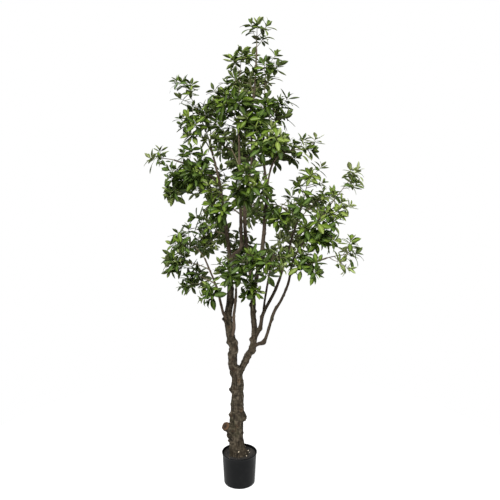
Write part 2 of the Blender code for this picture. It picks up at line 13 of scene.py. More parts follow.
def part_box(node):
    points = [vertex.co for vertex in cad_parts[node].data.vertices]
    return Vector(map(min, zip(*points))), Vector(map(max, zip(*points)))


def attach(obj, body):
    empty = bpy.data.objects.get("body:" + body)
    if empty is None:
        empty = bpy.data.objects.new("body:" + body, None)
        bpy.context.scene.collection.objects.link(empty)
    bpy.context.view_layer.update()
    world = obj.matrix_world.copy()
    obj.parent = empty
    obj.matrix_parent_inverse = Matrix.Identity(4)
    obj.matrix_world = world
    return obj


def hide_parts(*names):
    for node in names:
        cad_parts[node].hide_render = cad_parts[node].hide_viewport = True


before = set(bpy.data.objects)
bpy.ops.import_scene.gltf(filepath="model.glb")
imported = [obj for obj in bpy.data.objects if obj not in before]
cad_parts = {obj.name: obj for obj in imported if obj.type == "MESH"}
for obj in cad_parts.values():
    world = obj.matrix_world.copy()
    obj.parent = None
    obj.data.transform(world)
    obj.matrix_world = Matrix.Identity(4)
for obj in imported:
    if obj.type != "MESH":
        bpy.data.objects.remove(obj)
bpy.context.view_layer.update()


# The pot is a thin nursery pot moulded in black plastic, with a turned-out lip and a rounded foot.
# It stands on its flat underside, and the casting inside it holds the tree.
pot_low, pot_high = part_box("pot")
POT_HEIGHT = pot_high.z
LIP_RADIUS = pot_high.x
MOUTH_RADIUS = LIP_RADIUS - 0.0022
FOOT_RADIUS = 0.0815
POT_WALL = 0.0022
POT_FLOOR = 0.004
LIP_DEPTH = 0.007
FOOT_ROUND = 0.006
POT_SIDES = 128


class Wire:
    """One output of a node, so that sums on it are written as sums."""

    def __init__(self, nodes, socket):
        self.nodes = nodes
        self.socket = socket

    def __add__(self, other):
        return self.nodes.sum("ADD", self, other)

    def __sub__(self, other):
        return self.nodes.sum("SUBTRACT", self, other)

    def __rsub__(self, other):
        return self.nodes.sum("SUBTRACT", other, self)

    def __mul__(self, other):
        return self.nodes.sum("MULTIPLY", self, other)

    __radd__ = __add__
    __rmul__ = __mul__


class Nodes:
    """A node tree, and one way to add any node to it."""

    prefix = ""

    def feed(self, node, slot, value):
        """Sets or links one input in use, found by its place, identifier or name."""
        usable = [item for item in node.inputs if item.enabled]
        target = usable[slot] if isinstance(slot, int) else next(
            item for item in usable if slot in (item.identifier, item.name))
        if isinstance(value, Wire):
            self.tree.links.new(value.socket, target)
        elif target.type == "RGBA" and len(value) == 3:
            target.default_value = (*value, 1.0)
        else:
            target.default_value = value

    def node(self, kind, inputs, output=0, **settings):
        """Adds a node with its settings made first, and gives one of its outputs in use."""
        made = self.tree.nodes.new(self.prefix + kind)
        for key, value in settings.items():
            setattr(made, key, value)
        for slot, value in inputs.items():
            self.feed(made, slot, value)
        return Wire(self, [item for item in made.outputs if item.enabled][output])


class Finish(Nodes):
    """A surface finish: a Principled material."""

    prefix = "ShaderNode"

    def __init__(self, name, **plain):
        self.material = bpy.data.materials.new(name)
        self.material.use_nodes = True
        self.tree = self.material.node_tree
        self.paint(**plain)

    def place(self):
        """The piece's own coordinates."""
        return self.node("TexCoord", {}, output=3)

    def sum(self, operation, first, second):
        return self.node("Math", {0: first, 1: second}, operation=operation)

    def grain(self, place, scale, detail=4.0, roughness=0.55):
        """A cloud of values round 0.5."""
        return self.node("TexNoise", {"Vector": place, "Scale": scale, "Detail": detail,
                                      "Roughness": roughness})

    def step(self, value, low, high):
        """Turns values from low to high into 0 to 1."""
        return self.node("MapRange", {"Value": value, "From Min": low, "From Max": high},
                         interpolation_type="SMOOTHSTEP")

    def blend(self, share, first, second):
        """A mix of two colours."""
        return self.node("Mix", {"Factor_Float": share, "A_Color": first, "B_Color": second},
                         data_type="RGBA")

    def ramp(self, value, *stops):
        """Colours by a value, through stops of (value, colour)."""
        wire = self.node("ValToRGB", {"Fac": value})
        elements = wire.socket.node.color_ramp.elements
        for place, colour in stops[1:-1]:
            elements.new(place)
        for element, (place, colour) in zip(elements, stops):
            element.position = place
            element.color = (*colour, 1.0)
        return wire

    def paint(self, **values):
        """Sets or links inputs of the Principled shader."""
        for slot, value in values.items():
            self.feed(self.tree.nodes["Principled BSDF"], slot.replace("_", " "), value)

    def bump(self, height, strength, distance):
        self.paint(Normal=self.node("Bump", {"Height": height, "Strength": strength,
                                             "Distance": distance}))


def mesh_of(build, name):
    """Ends a bmesh as a plain mesh."""
    mesh = bpy.data.meshes.new(name)
    build.to_mesh(mesh)
    build.free()
    return mesh


def placed(name, data):
    """A new object in the scene."""
    made = bpy.data.objects.new(name, data)
    bpy.context.scene.collection.objects.link(made)
    return made


def applied(carrier, name):
    """The mesh that an object's modifiers make of it. The object itself goes."""
    graph = bpy.context.evaluated_depsgraph_get()
    graph.update()
    mesh = bpy.data.meshes.new_from_object(carrier.evaluated_get(graph))
    mesh.name = name
    bpy.data.objects.remove(carrier)
    return mesh


def arc(centre, radius, start, end, steps):
    """Points of (radius, height) round a quarter or so of a circle, by angles in degrees."""
    across, up = centre
    points = []
    for step in range(steps + 1):
        angle = radians(start + (end - start) * step / steps)
        points.append((across + radius * cos(angle), up + radius * sin(angle)))
    return points


def turned(profile, sides, name):
    """The closed solid that a profile, from axis to axis, sweeps round Z."""
    build = bmesh.new()
    points = [build.verts.new((radius, 0.0, height)) for radius, height in profile]
    edges = [build.edges.new(pair) for pair in zip(points, points[1:])]
    bmesh.ops.spin(build, geom=points + edges, cent=(0, 0, 0), axis=(0, 0, 1),
                   angle=2 * pi, steps=sides, use_merge=False)
    bmesh.ops.remove_doubles(build, verts=build.verts, dist=1e-5)
    bmesh.ops.recalc_face_normals(build, faces=build.faces)
    return mesh_of(build, name)


def shown(name, mesh, *finishes):
    """Puts a mesh in the scene with its finishes."""
    mesh.materials.clear()
    for finish in finishes:
        mesh.materials.append(finish.material)
    return placed(name, mesh)


def seated(piece, slot, *nodes):
    """Puts a finished piece under the root body and hides the model's parts that it stands for."""
    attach(piece, "root")
    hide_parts(*nodes)


taper = (MOUTH_RADIUS - FOOT_RADIUS) / POT_HEIGHT
lip_foot = POT_HEIGHT - LIP_DEPTH
pot_profile = [(0.0, 0.0), (FOOT_RADIUS - 0.022, 0.0), (FOOT_RADIUS - 0.02, 0.0008)]
pot_profile += [(FOOT_RADIUS - 0.013, 0.0008), (FOOT_RADIUS - 0.011, 0.0)]
pot_profile += arc((FOOT_RADIUS - FOOT_ROUND, FOOT_ROUND), FOOT_ROUND, -90, 0, 7)
for share in (0.2, 0.4, 0.6, 0.8, 0.97):
    pot_profile.append((FOOT_RADIUS + taper * lip_foot * share,
                        FOOT_ROUND + (lip_foot - FOOT_ROUND) * share))
pot_profile += [(LIP_RADIUS - 0.0016, lip_foot + 0.0012), (LIP_RADIUS - 0.0002, lip_foot + 0.0026)]
pot_profile += arc((LIP_RADIUS - 0.0016, POT_HEIGHT - 0.0016), 0.0016, 0, 90, 5)
pot_profile += arc((MOUTH_RADIUS - POT_WALL + 0.001, POT_HEIGHT - 0.001), 0.001, 90, 180, 4)
pot_profile += [(FOOT_RADIUS + taper * lip_foot * share - POT_WALL, share * lip_foot)
                for share in (0.8, 0.5, 0.2)]
pot_profile += [(FOOT_RADIUS - POT_WALL - 0.003, POT_FLOOR), (0.0, POT_FLOOR)]

plastic = Finish("black_plastic", Specular_IOR_Level=0.11)
place = plastic.place()
haze = plastic.grain(place, 26.0, 3.0)
rub = plastic.grain(plastic.node("Mapping", {"Vector": place, "Scale": (9.0, 9.0, 90.0)}), 3.0)
scuff = plastic.step(rub, 0.6, 0.78)
skin = plastic.grain(place, 900.0, 2.0)
dust = plastic.step(haze, 0.45, 0.75)
plastic.paint(
    Base_Color=plastic.blend(dust * 0.5 + scuff * 0.35, (0.003, 0.0034, 0.0037),
                             (0.0085, 0.0087, 0.009)),
    Roughness=0.44 + dust * 0.12 + scuff * 0.1)
plastic.bump(skin * 0.5 + rub * 0.8, 0.35, 0.0006)

pot = shown("pot_moulding", turned(pot_profile, POT_SIDES, "pot_moulding"), plastic)
pot.data.shade_smooth()
pot.data.set_sharp_from_angle(angle=radians(38))
seated(pot, "pot_plastic", "pot")


# The filling is a dark cement cast round the trunk's foot to weigh the pot down. It has a rough
# skin, and crumbs of cement and a few pale chips lie loose on it.
fill_low, fill_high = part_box("pot_fill")
FILL_TOP = fill_high.z
FILL_RADIUS = fill_high.x
FILL_SIDES = 120
FILL_RINGS = 44
CRUMB_SIZE = 0.0026
CRUMBS_PER_SQUARE_METRE = 14000
CHIP_TILT = (0.2, -0.1)
# Each pale chip: its place, how high it sits above the filling, its size and how it is turned.
CHIPS = (((0.046, 0.031), 0.0, 0.0038, 20), ((0.027, 0.074), 0.0, 0.0036, 70),
         ((0.052, 0.012), 0.0, 0.0026, 140), ((-0.003, -0.0415), 0.03, 0.0042, 10),
         ((0.038, -0.034), 0.004, 0.003, 95), ((-0.052, -0.046), 0.0, 0.002, 40))


def fill_height(x, y):
    """The lie of the filling's top."""
    reach = hypot(x, y) / FILL_RADIUS
    heap = 0.003 * noise(Vector((x * 32, y * 32, 4.0)))
    grit = 0.0011 * noise(Vector((x * 170, y * 170, 9.0)))
    climb = 0.0022 * max(0.0, reach - 0.86) / 0.14
    return FILL_TOP - 0.0004 + heap + grit + climb - 0.0012 * reach


fill_profile = [(0.0, fill_low.z), (FILL_RADIUS - 0.006, fill_low.z)]
fill_profile.append((FILL_RADIUS - 0.0003, FILL_TOP - 0.006))
fill_profile += [(FILL_RADIUS * (1 - ring / FILL_RINGS), FILL_TOP) for ring in range(FILL_RINGS)]
fill_profile.append((0.0, FILL_TOP))
fill_mesh = turned(fill_profile, FILL_SIDES, "cast_filling")
for vertex in fill_mesh.vertices:
    if vertex.co.z > FILL_TOP - 0.0005:
        vertex.co.z = fill_height(vertex.co.x, vertex.co.y)

cement = Finish("dark_cement", Roughness=0.92)
place = cement.place()
patch = cement.step(cement.grain(place, 34.0, 5.0), 0.4, 0.66)
speck = cement.step(cement.grain(place, 420.0, 2.0), 0.58, 0.7)
earthy = cement.blend(patch, (0.0035, 0.0033, 0.003), (0.015, 0.0118, 0.0088))
cement.paint(Base_Color=cement.blend(speck * 0.5, earthy, (0.045, 0.038, 0.03)))
cement.bump(cement.grain(place, 260.0, 6.0), 0.9, 0.0016)
filling = shown("cast_filling", fill_mesh, cement)
filling.data.shade_smooth()
seated(filling, "fill", "pot_fill")


def pebble(name, seed, bumps, rounds, thickness):
    """A small irregular stone of radius 1."""
    build = bmesh.new()
    bmesh.ops.create_icosphere(build, subdivisions=rounds, radius=1.0)
    for vertex in build.verts:
        lie = vertex.co * 1.3 + Vector((seed, seed * 2.0, 0.0))
        vertex.co *= 1.0 + bumps * noise(lie) + 0.3 * bumps * noise(lie * 3.0)
        vertex.co.z *= thickness
    return mesh_of(build, name)


class NodeRun(Nodes):
    """A Geometry Nodes tree with named inputs."""

    def __init__(self, name, **sizes):
        self.tree = bpy.data.node_groups.new(name, "GeometryNodeTree")
        face = self.tree.interface
        face.new_socket("Geometry", in_out="INPUT", socket_type="NodeSocketGeometry")
        self.sockets = {}
        for key, kind in sizes.items():
            made = face.new_socket(key, in_out="INPUT", socket_type="NodeSocket" + kind)
            self.sockets[key] = made.identifier
        face.new_socket("Geometry", in_out="OUTPUT", socket_type="NodeSocketGeometry")
        self.start = self.tree.nodes.new("NodeGroupInput")
        self.end = self.tree.nodes.new("NodeGroupOutput")

    def input(self, name):
        return Wire(self, self.start.outputs[name])

    def named(self, name, kind):
        """Reads an attribute of the geometry."""
        return self.node("GeometryNodeInputNamedAttribute", {"Name": name}, data_type=kind)

    def finish(self, geometry, materials):
        """Realizes the instances and sets each material on the faces of its own part number."""
        whole = self.node("GeometryNodeRealizeInstances", {"Geometry": geometry})
        part = self.named("part", "INT")
        for number, finish in enumerate(materials):
            inputs = {"Geometry": whole, "Material": finish.material}
            if len(materials) > 1:
                inputs["Selection"] = self.node("FunctionNodeCompare", {0: part, 1: number},
                                                data_type="INT", operation="EQUAL")
            whole = self.node("GeometryNodeSetMaterial", inputs)
        self.tree.links.new(whole.socket, self.end.inputs[0])

    def grow(self, name, base, **values):
        """Runs the tree on a mesh and gives the result as a plain mesh object."""
        carrier = placed(name + "_carrier", base)
        modifier = carrier.modifiers.new(name, "NODES")
        modifier.node_group = self.tree
        for key, value in values.items():
            modifier[self.sockets[key]] = value
        return placed(name, applied(carrier, name))


def note(mesh, name, values, kind="FLOAT"):
    """Writes a value for every point of a mesh."""
    key = "vector" if kind == "FLOAT_VECTOR" else "value"
    mesh.attributes.new(name, kind, "POINT").data.foreach_set(key, values)


def kept_aside(name, meshes):
    """A collection of shapes that a node tree picks from. They aren't shown."""
    group = bpy.data.collections.new(name)
    for number, mesh in enumerate(meshes):
        group.objects.link(bpy.data.objects.new(name + "_" + str(number), mesh))
    return group


def scattered(name, shapes, places, finishes):
    """Sets shapes at places of (point, turn, size, number of the shape) as one plain mesh."""
    run = NodeRun(name + "_run", Shapes="Collection")
    kinds = run.node("GeometryNodeCollectionInfo", {
        "Collection": run.input("Shapes"), "Separate Children": True, "Reset Children": True})
    turn = run.node("FunctionNodeEulerToRotation", {"Euler": run.named("turn", "FLOAT_VECTOR")})
    run.finish(run.node("GeometryNodeInstanceOnPoints", {
        "Points": run.input("Geometry"), "Instance": kinds, "Pick Instance": True,
        "Instance Index": run.named("form", "INT"), "Rotation": turn,
        "Scale": run.named("size", "FLOAT")}), finishes)
    seats = bpy.data.meshes.new(name + "_seats")
    seats.from_pydata([place[0] for place in places], [], [])
    note(seats, "turn", [part for place in places for part in place[1]], "FLOAT_VECTOR")
    note(seats, "size", [place[2] for place in places])
    note(seats, "form", [place[3] for place in places], "INT")
    return run.grow(name, seats, Shapes=shapes)


chance = random.Random(12)
crumbs = []
for number in range(round(CRUMBS_PER_SQUARE_METRE * pi * FILL_RADIUS ** 2)):
    reach = (FILL_RADIUS - 0.004) * sqrt(chance.random())
    bearing = chance.uniform(0, 2 * pi)
    x, y = reach * cos(bearing), reach * sin(bearing)
    turn = [chance.uniform(0, 2 * pi) for axis in range(3)]
    size = CRUMB_SIZE * chance.uniform(0.25, 1.0) ** 1.5
    crumbs.append(((x, y, fill_height(x, y) + size * 0.3), turn, size, chance.randrange(3)))
stones = kept_aside("stones", [pebble("stone_" + str(seed), seed, 0.7, 1, 0.8)
                               for seed in range(3)])
grit = Finish("cement_crumb", Roughness=0.95)
place = grit.place()
grit.paint(Base_Color=grit.blend(grit.step(grit.grain(place, 150.0, 2.0), 0.4, 0.62),
                                 (0.008, 0.007, 0.006), (0.06, 0.046, 0.033)))
grit.bump(grit.grain(place, 900.0, 3.0), 0.6, 0.0004)
loose = scattered("loose_crumbs", stones, crumbs, [grit])
seated(loose, "fill", "pot_fill")

flakes = kept_aside("flakes", [pebble("flake_" + str(seed), 20 + seed, 0.9, 2, 0.35)
                               for seed in range(2)])
chips = [((x, y, fill_height(x, y) + rise + 0.25 * size), (*CHIP_TILT, radians(turn)), size,
          number % 2) for number, ((x, y), rise, size, turn) in enumerate(CHIPS)]
chalk = Finish("pale_chip", Roughness=0.9)
place = chalk.place()
chalk.paint(Base_Color=chalk.blend(chalk.grain(place, 320.0, 3.0), (0.34, 0.27, 0.18),
                                   (0.62, 0.55, 0.43)))
chalk.bump(chalk.grain(place, 800.0, 3.0), 0.5, 0.0004)
scraps = scattered("pale_chips", flakes, chips, [chalk])
seated(scraps, "fill", "pot_fill")


# The wood below the crown: a gnarled trunk cast into the filling, two leaders that fork from it,
# and the boughs that fork from those. Its bark is rough and grey-brown, with callus where twigs
# were cut, and every limb is glued into the one below it.
TRUNK_FOOT = FILL_TOP + 0.0003
# Each limb, in millimetres: the spacing of the rings on its plain solid, and its route from foot
# to tip as (right, back, up, diameter).
LIMBS = {
    "trunk": (23, (-16, 0, 225, 72), (-16, 0, 315, 73), (-10, 0, 400, 64), (-9, 0, 500, 60),
        (-10, 0, 570, 55), (-13, 0, 608, 62), (-12, 0, 630, 46), (-10, 0, 640, 26)),
    "left_leader": (38, (-20, 0, 600, 50), (-34, 0, 655, 43), (-29, 5, 725, 41), (-42, 10, 785, 43),
        (-54, 15, 855, 40), (-55, 20, 920, 38), (-46, 25, 985, 34), (-45, 30, 1190, 24)),
    "right_limb": (28, (-8, 0, 590, 38), (18, -5, 637, 33), (42, -10, 688, 32), (70, -14, 738, 31)),
    "middle_stem": (36, (66, -13, 722, 30), (76, -15, 781, 29), (79, -15, 833, 29), (72, -13, 930, 27),
        (72, -5, 1040, 25)),
    "left_bough": (55, (-46, 33, 1172, 21), (-57, 50, 1285, 18), (-81, 80, 1446, 15),
        (-101, 110, 1580, 13), (-156, 150, 1800, 9)),
    "inner_bough": (55, (-43, 27, 1160, 19), (-30, -5, 1215, 18), (10, -45, 1262, 17),
        (12, -62, 1345, 16), (7, -70, 1595, 12), (1, -50, 1882, 8)),
    "front_stem": (50, (-42, 8, 785, 16), (-25, -18, 840, 15), (-26, -30, 911, 14), (-17, -55, 985, 13),
        (-12, -90, 1065, 10)),
    "low_left_bough": (50, (-56, 16, 875, 17), (-79, -4, 915, 14), (-94, -25, 985, 12),
        (-112, -45, 1065, 10), (-168, -70, 1214, 8)),
    "left_arm": (50, (-99, 108, 1560, 11), (-130, 80, 1600, 10), (-190, 45, 1645, 9),
        (-320, 0, 1693, 8)),
    "crown_leader": (60, (72, -6, 1025, 23), (57, 10, 1135, 20), (35, 30, 1290, 19), (30, 45, 1448, 16),
        (48, 50, 1584, 13), (66, 50, 1720, 11), (62, 40, 1866, 10), (80, 25, 2060, 8),
        (88, 20, 2225, 7.5)),
    "right_stem": (55, (73, -8, 1015, 20), (93, -50, 1135, 20), (116, -80, 1260, 19),
        (130, -98, 1430, 17), (138, -100, 1548, 14), (122, -88, 1690, 11), (122, -60, 1917, 8)),
    "right_arm": (45, (137, -100, 1560, 10), (157, -80, 1652, 9), (185, -55, 1702, 8.5),
        (241, -30, 1735, 8)),
    "right_fork": (46, (77, -15, 790, 21), (108, -18, 850, 19), (125, -18, 925, 17),
        (195, 30, 1053, 14), (253, 80, 1223, 11), (323, 80, 1467, 8.5)),
    "back_stem": (45, (126, -16, 925, 12), (131, 25, 972, 11), (160, 120, 1111, 10),
        (179, 170, 1195, 8.5)),
    "outer_bough": (42, (58, -13, 726, 20), (90, -36, 762, 17), (126, -50, 785, 17),
        (145, -50, 830, 15), (175, -50, 931, 15), (212, -60, 1000, 13), (246, -72, 1090, 12),
        (272, -80, 1215, 11), (340, -70, 1323, 9), (439, -50, 1459, 8)),
    "low_right_bough": (45, (255, -76, 1130, 9), (295, -105, 1166, 9), (356, -125, 1196, 8.5),
        (430, -120, 1222, 8)),
}
LIMBS = {name: (spacing / 1000, [[part / 1000 for part in point] for point in points])
         for name, (spacing, *points) in LIMBS.items()}
LIMBS["trunk"][1].insert(0, (-0.007, 0.0, TRUNK_FOOT, 0.082))
# Lumps of callus, as (height, bearing in degrees from +X, spread, rise).
KNOTS = {
    "trunk": (
        (0.508, 180, 0.015, 0.011), (0.536, -5, 0.016, 0.006), (0.411, -60, 0.014, 0.006),
        (0.357, -8, 0.017, 0.013), (0.376, 185, 0.011, 0.007), (0.431, 178, 0.011, 0.006),
        (0.268, 205, 0.018, 0.016), (0.604, 180, 0.02, 0.006), (0.47, 100, 0.015, 0.008),
        (0.26, 60, 0.02, 0.007), (0.569, -88, 0.012, 0.004), (0.455, -95, 0.013, 0.004)),
    "left_leader": (
        (0.7, 180, 0.014, 0.008), (0.76, 185, 0.01, 0.01), (0.766, 0, 0.01, 0.007),
        (0.883, 180, 0.009, 0.014), (0.975, 10, 0.012, 0.007), (0.722, 5, 0.01, 0.004)),
    "right_limb": ((0.664, -60, 0.01, 0.004), (0.7, 150, 0.008, 0.005)),
    "middle_stem": ((0.784, 180, 0.009, 0.009), (0.963, 180, 0.009, 0.008), (0.93, 5, 0.008, 0.004)),
    "outer_bough": ((0.775, -20, 0.009, 0.008), (0.897, 0, 0.006, 0.004)),
    "right_fork": ((0.838, -20, 0.009, 0.005), (0.905, 170, 0.006, 0.004)),
}
# The roots that buttress the trunk's foot: bearing, and how far each stands out.
ROOTS = ((-15, 0.014), (110, 0.008), (215, 0.01))
ROOT_HEIGHT = 0.022
ROOT_HALF_ANGLE = 34
STUB_ROOT = Vector((-0.024, -0.004, 0.282))
STUB_TIP = Vector((-0.07, -0.034, 0.324))
STUB_AXIS = (STUB_TIP - STUB_ROOT).normalized()
STUB_ROOT_RADIUS = 0.025
STUB_TIP_RADIUS = 0.0232
WAVER = 0.06
# Marks on the bark: place, size, how deep its hollow is, how far its lip stands up, its folds.
MARKS = (
    ((-0.001, -0.031, 0.569), 0.0095, 0.005, 0.0022, 0),
    ((0.013, -0.033, 0.411), 0.0095, 0.005, 0.0028, 0),
    ((0.028, -0.006, 0.36), 0.02, 0.0, 0.0, 3),
    ((-0.054, -0.02, 0.264), 0.015, 0.0, 0.0, 2),
    ((-0.01, -0.038, 0.324), 0.005, 0.003, 0.001, 0),
    ((-0.044, -0.006, 0.507), 0.011, 0.0, 0.0, 2),
    ((-0.016, 0.033, 0.505), 0.01, 0.0045, 0.0025, 0),
    ((0.018, 0.026, 0.3), 0.012, 0.005, 0.003, 0),
    ((0.06, -0.018, 0.785), 0.006, 0.002, 0.0012, 0),
    ((-0.05, -0.004, 0.845), 0.006, 0.002, 0.0012, 0))
RING_SPACING = 0.0045
THICK_SIDES = 40
THIN_SIDES = 20
STUB_SIDES = 28
# The small lumps where old leaves and twigs were: how far apart, and how wide.
NODE_SPACING = (0.016, 0.042)
NODE_SPREAD = (0.0035, 0.0065)
LOWER_VOXEL = 0.0022
LOWER_WOOD = ("trunk", "left_leader", "right_limb", "middle_stem", "outer_bough", "right_fork")


def spline_point(a, b, c, d, share):
    """A point between b and c on the Catmull-Rom curve through a, b, c and d."""
    square, cube = share * share, share ** 3
    return [0.5 * (2 * q + (r - p) * share + (2 * p - 5 * q + 4 * r - s) * square
                   + (3 * q - p - 3 * r + s) * cube) for p, q, r, s in zip(a, b, c, d)]


def smooth_route(points, spacing):
    """Evenly spaced (centre, radius) along a smooth curve through points of (x, y, z, diameter)."""
    ends = [points[0], *points, points[-1]]
    fine = []
    for four in zip(ends, ends[1:], ends[2:], ends[3:]):
        fine += [spline_point(*four, step / 12) for step in range(12)]
    fine.append(list(points[-1]))
    travelled = [0.0]
    for before, after in zip(fine, fine[1:]):
        travelled.append(travelled[-1] + (Vector(after[:3]) - Vector(before[:3])).length)
    count = max(2, round(travelled[-1] / spacing))
    route, at = [], 0
    for step in range(count + 1):
        goal = travelled[-1] * step / count
        while at < len(fine) - 2 and travelled[at + 1] < goal:
            at += 1
        share = (goal - travelled[at]) / max(1e-9, travelled[at + 1] - travelled[at])
        blend = [p + (q - p) * min(1.0, share) for p, q in zip(fine[at], fine[at + 1])]
        route.append((Vector(blend[:3]), blend[3] / 2))
    return route


def frames_along(route):
    """The tangent at each point of a route, and two directions across it that turn little."""
    centres = [centre for centre, radius in route]
    tangents = []
    for index in range(len(centres)):
        before, after = centres[max(0, index - 1)], centres[min(len(centres) - 1, index + 1)]
        tangents.append((after - before).normalized())
    across = Vector((1, 0, 0)) if abs(tangents[0].x) < 0.9 else Vector((0, 1, 0))
    frames = []
    for tangent in tangents:
        across = (across - tangent * across.dot(tangent)).normalized()
        frames.append((tangent, across, tangent.cross(across)))
    return frames


def nodes_on(name, length, radius):
    """A limb's small lumps, as (distance from its foot, bearing, spread, rise)."""
    chance = random.Random("nodes of " + name)
    found, place = [], 0.02
    while place < length:
        found.append((place, chance.uniform(-pi, pi), chance.uniform(*NODE_SPREAD),
                      chance.uniform(0.1, 0.34) * min(radius, 0.014)))
        place += chance.uniform(*NODE_SPACING)
    return found


def bark_radius(name, centre, radius, outward, distance, nodes):
    """A limb's radius in one direction at one place, with its waver, knots, nodes and roots."""
    bearing = atan2(outward.y, outward.x)
    phase = len(name)
    waver = (sin(38 * distance + 2 * bearing + phase)
             + 0.6 * sin(71 * distance - 3 * bearing + 2 * phase))
    size = radius * (1 + WAVER * waver * 0.6)
    surface = centre + outward * radius
    for height, angle, spread, rise in KNOTS.get(name, ()):
        turn = remainder(bearing - radians(angle), 2 * pi) * radius
        far = (surface.z - height) ** 2 + turn ** 2
        size += rise * exp(-far / (2 * (0.8 * spread) ** 2))
    for place, angle, spread, rise in nodes:
        if abs(place - distance) < 0.02:
            turn = remainder(bearing - angle, 2 * pi) * radius
            size += rise * exp(-((place - distance) ** 2 + turn ** 2) / (2 * spread ** 2))
    if name == "trunk":
        fade = exp(-(centre.z - TRUNK_FOOT) / ROOT_HEIGHT)
        for angle, reach in ROOTS:
            turn = remainder(bearing - radians(angle), 2 * pi)
            size += reach * fade * exp(-(turn / radians(ROOT_HALF_ANGLE)) ** 2)
    return size


def bridge(build, rings):
    """Adds faces between closed rings of vertices. A ring may be one vertex over and over."""
    for low, high in zip(rings, rings[1:]):
        for side in range(len(low)):
            after = (side + 1) % len(low)
            build.faces.new(tuple(dict.fromkeys((low[side], low[after], high[after], high[side]))))


def add_tube(build, route, sides, size_at):
    """Adds a closed tube round a route to a bmesh. size_at(index, outward) is its radius."""
    rings = []
    for index, ((centre, radius), frame_at) in enumerate(zip(route, frames_along(route))):
        ring = []
        for side in range(sides):
            turn = 2 * pi * side / sides
            outward = frame_at[1] * cos(turn) + frame_at[2] * sin(turn)
            ring.append(build.verts.new(centre + outward * size_at(index, outward)))
        rings.append(ring)
    bridge(build, rings)
    build.faces.new(rings[0][::-1])
    build.faces.new(rings[-1])


def add_limb(build, name, spacing, sides):
    """Adds one limb to a bmesh, and gives for each point of its route the centre, the radius, the
    directions, the distance from its foot, and a shift that sets its grain off from the others'."""
    route = smooth_route(LIMBS[name][1], spacing)
    if name == "trunk":
        route.insert(0, (route[0][0] - Vector((0, 0, 0.004)), route[0][1]))
    distances = [0.0]
    for (before, _), (after, _) in zip(route, route[1:]):
        distances.append(distances[-1] + (after - before).length)
    nodes = nodes_on(name, distances[-1], route[len(route) // 2][1])
    flare = route[0][1] * 2.2

    def size_at(index, outward):
        size = bark_radius(name, *route[index], outward, distances[index], nodes)
        if route[0][1] < 0.016:
            size += 0.35 * route[index][1] * exp(-(distances[index] / flare) ** 2)
        return size

    add_tube(build, route, sides, size_at)
    return [(centre, radius, directions, distance, len(name) * 0.37) for (centre, radius), directions,
            distance in zip(route, frames_along(route), distances)]


def run_together(build, voxel, name):
    """Fuses the overlapping tubes of a bmesh into one skin and rounds it slightly."""
    carrier = placed(name, mesh_of(build, name))
    skin = carrier.modifiers.new("skin", "REMESH")
    skin.mode = "VOXEL"
    skin.voxel_size = voxel * 1.0
    rounding = carrier.modifiers.new("rounding", "SMOOTH")
    rounding.factor = 0.5
    rounding.iterations = 2
    return applied(carrier, name)


def tree_of(places):
    """A search tree over places."""
    tree = KDTree(len(places))
    for number, place in enumerate(places):
        tree.insert(place, number)
    tree.balance()
    return tree


def marked(place):
    """How a mark changes the bark at one place: its rise, where its wood shows, and its painted shade."""
    rise = wood = pit = 0.0
    for centre, size, depth, lip, folds in MARKS:
        apart = place - Vector(centre)
        if apart.length > 3 * size:
            continue
        far = sqrt(apart.x ** 2 + apart.y ** 2 + (0.8 * apart.z) ** 2) / size
        if folds:
            near = exp(-far * far)
            wave = sin(pi * folds * (apart.z + 0.35 * apart.x) / size)
            rise += near * 0.0062 * (abs(wave) - 0.5)
            pit = max(pit, near * max(0.0, 1.0 - 3.0 * abs(wave)))
        # Painted shade is noted in the creases between the folds.
        else:
            rise += lip * exp(-((far - 1.15) / 0.32) ** 2) - depth * exp(-(far / 0.62) ** 4)
            wood = max(wood, exp(-((far - 0.72) / 0.36) ** 2))
            # Painted shade is noted in the hollow of the mark.
            pit = max(pit, exp(-(far / 0.42) ** 4))
    return rise, wood, pit


def grow_bark(mesh, samples, strength):
    """Roughens a wood skin along its grain, and notes what its finish reads: the grain's own
    coordinates, the relief, the wood's age, where bare wood shows, and the painted shade in marks."""
    tree = tree_of([sample[0] for sample in samples])
    fibre, relief, age, bare, pit_shades, moved = [], [], [], [], [], []
    for vertex in mesh.vertices:
        place = vertex.co.copy()
        hits = tree.find_n(place, 4)
        number = min(hits, key=lambda hit: hit[2] - samples[hit[1]][1])[1]
        centre, radius, (tangent, across, over), distance, offset = samples[number]
        out = place - centre
        along = distance + out.dot(tangent)
        grain = Vector((out.dot(across) + offset, out.dot(over), along * 0.2))
        ridge = 1.0 - 2.4 * abs(noise(grain * 75.0))
        fine = 1.0 - 2.4 * abs(noise(grain * 165.0 + Vector((3, 5, 7))))
        lump = noise(place * 27.0)
        callus = max(0.0, noise(place * 46.0 + Vector((31, 0, 0))) - 0.24)
        wrinkle = noise(Vector((grain.x * 55, grain.y * 55, along * 150)))
        size = min(1.0, radius / 0.032) ** 0.85 * strength
        rise, wood, pit = marked(place)
        shift = size * (0.0015 * ridge + 0.0007 * fine + 0.0026 * lump + 0.013 * callus
                        + 0.0008 * wrinkle)
        beyond = (place - STUB_TIP).dot(STUB_AXIS)
        if beyond > -0.004 and (place - STUB_TIP).length < 0.03:
            shift *= 0.15
        moved.append(place + vertex.normal * (shift + rise))
        fibre += list(grain)
        relief.append(0.5 + 0.26 * ridge + 0.12 * fine + 0.22 * wrinkle + 0.5 * callus)
        age.append(min(1.0, max(0.0, (radius - 0.004) / 0.026)))
        bare.append(wood)
        pit_shades.append(pit)
    for vertex, place in zip(mesh.vertices, moved):
        vertex.co = place
    for name, values in (("relief", relief), ("age", age), ("bare", bare), ("pit", pit_shades)):
        note(mesh, name, values)
    note(mesh, "fibre", fibre, "FLOAT_VECTOR")


def tinted(colour, share):
    """A colour made lighter or darker."""
    return tuple(share * part for part in colour)


